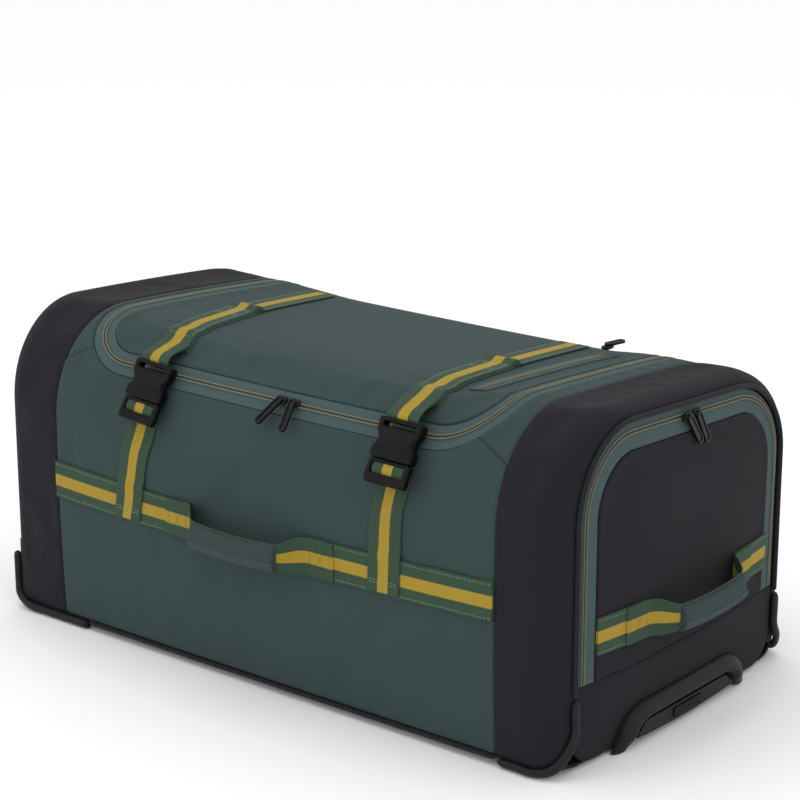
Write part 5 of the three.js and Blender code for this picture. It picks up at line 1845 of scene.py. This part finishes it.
# %% Guards and rims
def corner_path(s, side, start, reach, radius):
    """Line down the end seam, round the lower corner and along the base seam."""
    v = lambda z: side * girth_at(HALF_LENGTH, z)
    low = side * (SEAM_V + (RUN_BASE - SEAM_V) * 0.2)
    turn = v(GUARD_HEIGHT * 0.56)
    off = radius + GAP
    stations = [
        (0, v(GUARD_HEIGHT)),
        (0, v(GUARD_HEIGHT * 0.78)),
        (0, turn),
        (0.03, turn * 0.45 + low * 0.55),
        (0.16, turn * 0.14 + low * 0.86),
        (0.38, low),
        (0.68, low),
        (1, low),
    ]
    x = np.array([s * (HALF_LENGTH - start - k * (reach - start)) for k, _ in stations])
    q = np.array([float(w) for _, w in stations])
    path = smooth_path(skin(x, q, off), 90)
    outs = smooth_path(skin(x, q, off + 1), 90) - path
    return path, outs


def above_floor(piece):
    """Lift every point that would be under the floor onto it."""
    places = np.empty(len(piece.data.vertices) * 3)
    piece.data.vertices.foreach_get("co", places)
    places = places.reshape(-1, 3)
    places[:, 2] = np.maximum(places[:, 2], 0.0)
    piece.data.vertices.foreach_set("co", places.ravel())
    return piece


for name, side in (("front", -1), ("back", 1)):
    path, outs = corner_path(1, side, 0, GUARD_REACH, 3.7)
    outline = round_outline(5.0, 3.6, 24, 2.2)
    guard = above_floor(sweep(f"guard_{name}", path, outs, outline, ends=9.0))
    dress(guard, MOULDING, "moulding", stands_for=(f"corner_guard_{name}",))
    path, outs = corner_path(-1, side, 9, RIM_REACH, 4.2)
    outline = round_outline(5.4, 4.0, 24, 2.4)
    rim = above_floor(sweep(f"rim_{name}", path, outs, outline, ends=5.0))
    dress(rim, MOULDING, "moulding", stands_for=(f"housing_rim_{name}",))
print("guards and rims done")

# %% [markdown]
# ## Wheels and housings
# The wheel housings keep their solids and take soft edges from a bevel modifier. The wheels
# are turned parts: a tyre with two grooves on a hub with spokes. Each rides on its own body.

# %% Shape of a wheel
WHEEL_W = 24.0
AXLE_R = 4.3


def wheel_mesh(centre):
    """Turned tyre and hub, with lightening holes sunk between the spokes."""
    h = WHEEL_W / 2
    side = [
        (AXLE_R, h - 1), (11, h - 1), (12.5, h - 2.4), (13.5, h - 4.5), (24, h - 4.5),
        (25.5, h - 2.5), (27, h - 0.6), (29.5, h), (32, h - 0.8), (33.4, h - 2.6),
        (34, h - 5), (34, 4.4), (33.2, 4), (33.2, 3), (34, 2.6),
    ]
    profile = [(r, -y) for r, y in side] + side[::-1]
    turns = 96
    angle = np.linspace(0, 2 * np.pi, turns, endpoint=False)
    r = np.array([p[0] for p in profile])[:, None]
    y = np.array([p[1] for p in profile])[:, None]
    dish = np.where((r > 13.4) & (r < 24.1), np.sin(3 * angle)[None] ** 2 * 2.0, 0) * -np.sign(y)
    points = np.stack([r * np.cos(angle), y + dish + 0 * angle, r * np.sin(angle)], -1)
    points = points * MM + np.array(centre)
    count = len(profile)
    ring_faces = quads(count, turns, wrap=True)
    first, last = np.arange(turns), (count - 1) * turns + np.arange(turns)
    bore = np.stack([last, np.roll(last, -1), np.roll(first, -1), first], 1)
    points = points.reshape(-1, 3)
    return points, outward(points, np.concatenate([ring_faces, bore]))


def kept_solid(node, finish, width):
    """Keep a node's own solid, with a finish and with its edges rounded by width."""
    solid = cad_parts[node]
    solid.data.materials.clear()
    solid.data.materials.append(finish)
    soft = solid.modifiers.new("soft edges", "BEVEL")
    soft.width = width * MM
    soft.segments = 3
    soft.limit_method = "ANGLE"


print("wheel", WHEEL_W, "mm wide on an axle of", 2 * AXLE_R, "mm")

# %% Wheels in place
for name in ("front", "back"):
    low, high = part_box(f"wheel_{name}")
    centre = ((low.x + high.x) / 2, (low.y + high.y) / 2, (low.z + high.z) / 2)
    points, faces = wheel_mesh(centre)
    wheel = mesh_from(f"tyre_{name}", points, faces.tolist(), sharp=35)
    dress(wheel, TYRE, "rubber", f"{name}_wheel", stands_for=(f"wheel_{name}",))
    kept_solid(f"wheel_housing_{name}", MOULDING, 1.2)
print("wheels done")

# %% [markdown]
# ## Trolley
# The housing is a broad arch whose face rolls over into the recess. It is lofted: every
# station of the arch has the same cross-section, slid between the outer and the inner
# outline. The grip and its button ride on their own bodies, so they slide and press.


# %% The housing arch
ARCH_CORNER = 40.0
FOOT_FLARE = 10.0


def arch(half, height, corner, count=24):
    """Points (y, z) of the arch from its right foot over the top to its left foot."""
    low = 1.2
    leg = [(half, low + (height * 0.3 - low) * t) for t in np.linspace(0, 1, 8)[:-1]]
    k = np.linspace(0, 1, count)[:, None]
    near, far = half - corner * 0.5, half - corner
    p = np.array([(half, height * 0.3), (half, height * 0.75), (near, height), (far, height)])
    bend = (1 - k) ** 3 * p[0] + 3 * k * (1 - k) ** 2 * p[1] + 3 * k * k * (1 - k) * p[2] + k**3 * p[3]
    top = [(q, height) for q in np.linspace(half - corner, 0, 12)[1:]]
    right = leg + bend.tolist() + top
    right = [(y + FOOT_FLARE * max(0.0, 1 - z / (height * 0.5)) ** 1.6, z) for y, z in right]
    return np.array(right + [(-y, z) for y, z in reversed(right[:-1])])


outer_arch = arch(ARCH_HALF, ARCH_HEIGHT, ARCH_CORNER)
print("arch", round(2 * ARCH_HALF), "mm wide and", round(ARCH_HEIGHT), "mm high")

# %% Loft of the housing
FACE_OUT = HALF_LENGTH + END_BULGE * 0.62
FRAME_OUT = FACE_OUT + 8.5
RECESS_IN = HALF_LENGTH - 46
OPEN_HALF = ARCH_HALF - ARCH_BAND
OPEN_TOP = ARCH_HEIGHT - ARCH_BAND
SEAT = FACE_OUT - 6
inner_arch = arch(OPEN_HALF, OPEN_TOP, ARCH_CORNER - ARCH_BAND * 0.8)
loft = [
    (0.0, SEAT), (0.0, FRAME_OUT - 9), (0.03, FRAME_OUT - 7.2), (0.1, FRAME_OUT - 5.2),
    (0.24, FRAME_OUT - 3.2), (0.42, FRAME_OUT - 1.5), (0.6, FRAME_OUT - 0.4), (0.74, FRAME_OUT),
    (0.86, FRAME_OUT - 0.7), (0.94, FRAME_OUT - 2.4), (0.99, FRAME_OUT - 5), (1.0, FRAME_OUT - 9),
    (1.0, RECESS_IN + 3), (0.86, RECESS_IN + 1), (0.62, RECESS_IN + 1), (0.6, SEAT),
]
rows = []
for share, x in loft:
    spot = outer_arch * (1 - share) + inner_arch * share
    proud = 0.5 + 0.5 * ramp(spot[:, 1], 0.0, ARCH_HEIGHT * 0.4)
    depth = SEAT + (x - SEAT) * (proud if x > SEAT else 1 + 0 * proud)
    rows.append(np.stack([depth, spot[:, 0] + MIDDLE_Y, spot[:, 1]], 1) * MM)
rows = np.array(rows).transpose(1, 0, 2)
count, k = rows.shape[:2]
points = rows.reshape(-1, 3)
faces = outward(points, quads(count, k, wrap=True)).tolist()
shape = bmesh.new()
verts = [shape.verts.new(p) for p in points]
for f in (*faces, range(k), range((count - 1) * k, count * k)):
    shape.faces.new([verts[i] for i in f])
BACK_THICK = 3
BACK_EDGE = 2
tall = RECESS_TOP - GAP - FLOOR
size = (BACK_THICK, 2 * (OPEN_HALF + BACK_EDGE), tall)
middle = (RECESS_IN + BACK_THICK / 2, MIDDLE_Y, FLOOR + tall / 2)
back_plate = bmesh.ops.create_cube(shape, size=1)["verts"]
bmesh.ops.scale(shape, verts=back_plate, vec=Vector(size) * MM)
bmesh.ops.translate(shape, verts=back_plate, vec=Vector(middle) * MM)
bmesh.ops.recalc_face_normals(shape, faces=shape.faces)
data = bpy.data.meshes.new("arch_trolley_housing")
shape.to_mesh(data)
shape.free()
data.shade_smooth()
data.set_sharp_from_angle(angle=math.radians(45))
housing = new_object("arch_trolley_housing", data)
dress(housing, MOULDING, "moulding", stands_for=("trolley_housing",))
print("housing", len(data.polygons), "faces")

# %% The grip, the button and the tubes
for node, finish, width in (
    ("trolley_grip", MOULDING, 2.2), ("trolley_button", BUCKLE_PLASTIC, 0.8),
    ("sliding_tube_front", ALUMINIUM, 0.8), ("sliding_tube_back", ALUMINIUM, 0.8),
    ("guide_tube_front", ALUMINIUM, 0.8), ("guide_tube_back", ALUMINIUM, 0.8),
):
    kept_solid(node, finish, width)
print("trolley done")

# %% [markdown]
# ## Studio
# The photograph has a white sweep and very soft light from above and from the left, so the
# shadows are faint. One large lamp overhead, a broad fill at the front and a bright world do
# the same. The floor is only stage.

# %% Floor, light and colour
floor_mesh = bpy.data.meshes.new("floor")
floor_mesh.from_pydata([(-30, -30, 0), (30, -30, 0), (30, 30, 0), (-30, 30, 0)], [], [(0, 1, 2, 3)])
floor = new_object("floor", floor_mesh)
floor_finish, _, floor_shader = new_finish("pale sweep", 0.9, specular=0.1)
floor_shader["Base Color"].default_value = (0.97, 0.97, 0.97, 1)
floor_mesh.materials.append(floor_finish)


def lamp(name, place, aim, size, power):
    """Round area lamp of a size in metres and a power in watts, aimed at a point."""
    data = bpy.data.lights.new(name, "AREA")
    data.shape = "DISK"
    data.size = size
    data.energy = power
    light = bpy.data.objects.new(name, data)
    bpy.context.scene.collection.objects.link(light)
    light.location = place
    light.rotation_euler = (Vector(aim) - Vector(place)).to_track_quat("-Z", "Y").to_euler()


LAMPS = {
    "overhead": ((-0.4, -0.3, 2.6), (0, 0, 0.1), 2.4, 12),
    "front fill": ((-1.6, -2.6, 1.3), (0, 0, 0.15), 2.0, 9),
    "right fill": ((2.8, -0.6, 1.2), (0.2, 0, 0.15), 1.6, 5),
}
for name, (place, aim, size, power) in LAMPS.items():
    lamp(name, place, aim, size, power)
world = bpy.data.worlds.new("studio")
world.use_nodes = True
world.node_tree.nodes["Background"].inputs["Color"].default_value = (1, 1, 1, 1)
world.node_tree.nodes["Background"].inputs["Strength"].default_value = 1.0
bpy.context.scene.world = world
bpy.context.scene.view_settings.view_transform = "Standard"
print(len(LAMPS), "lamps and a white world")
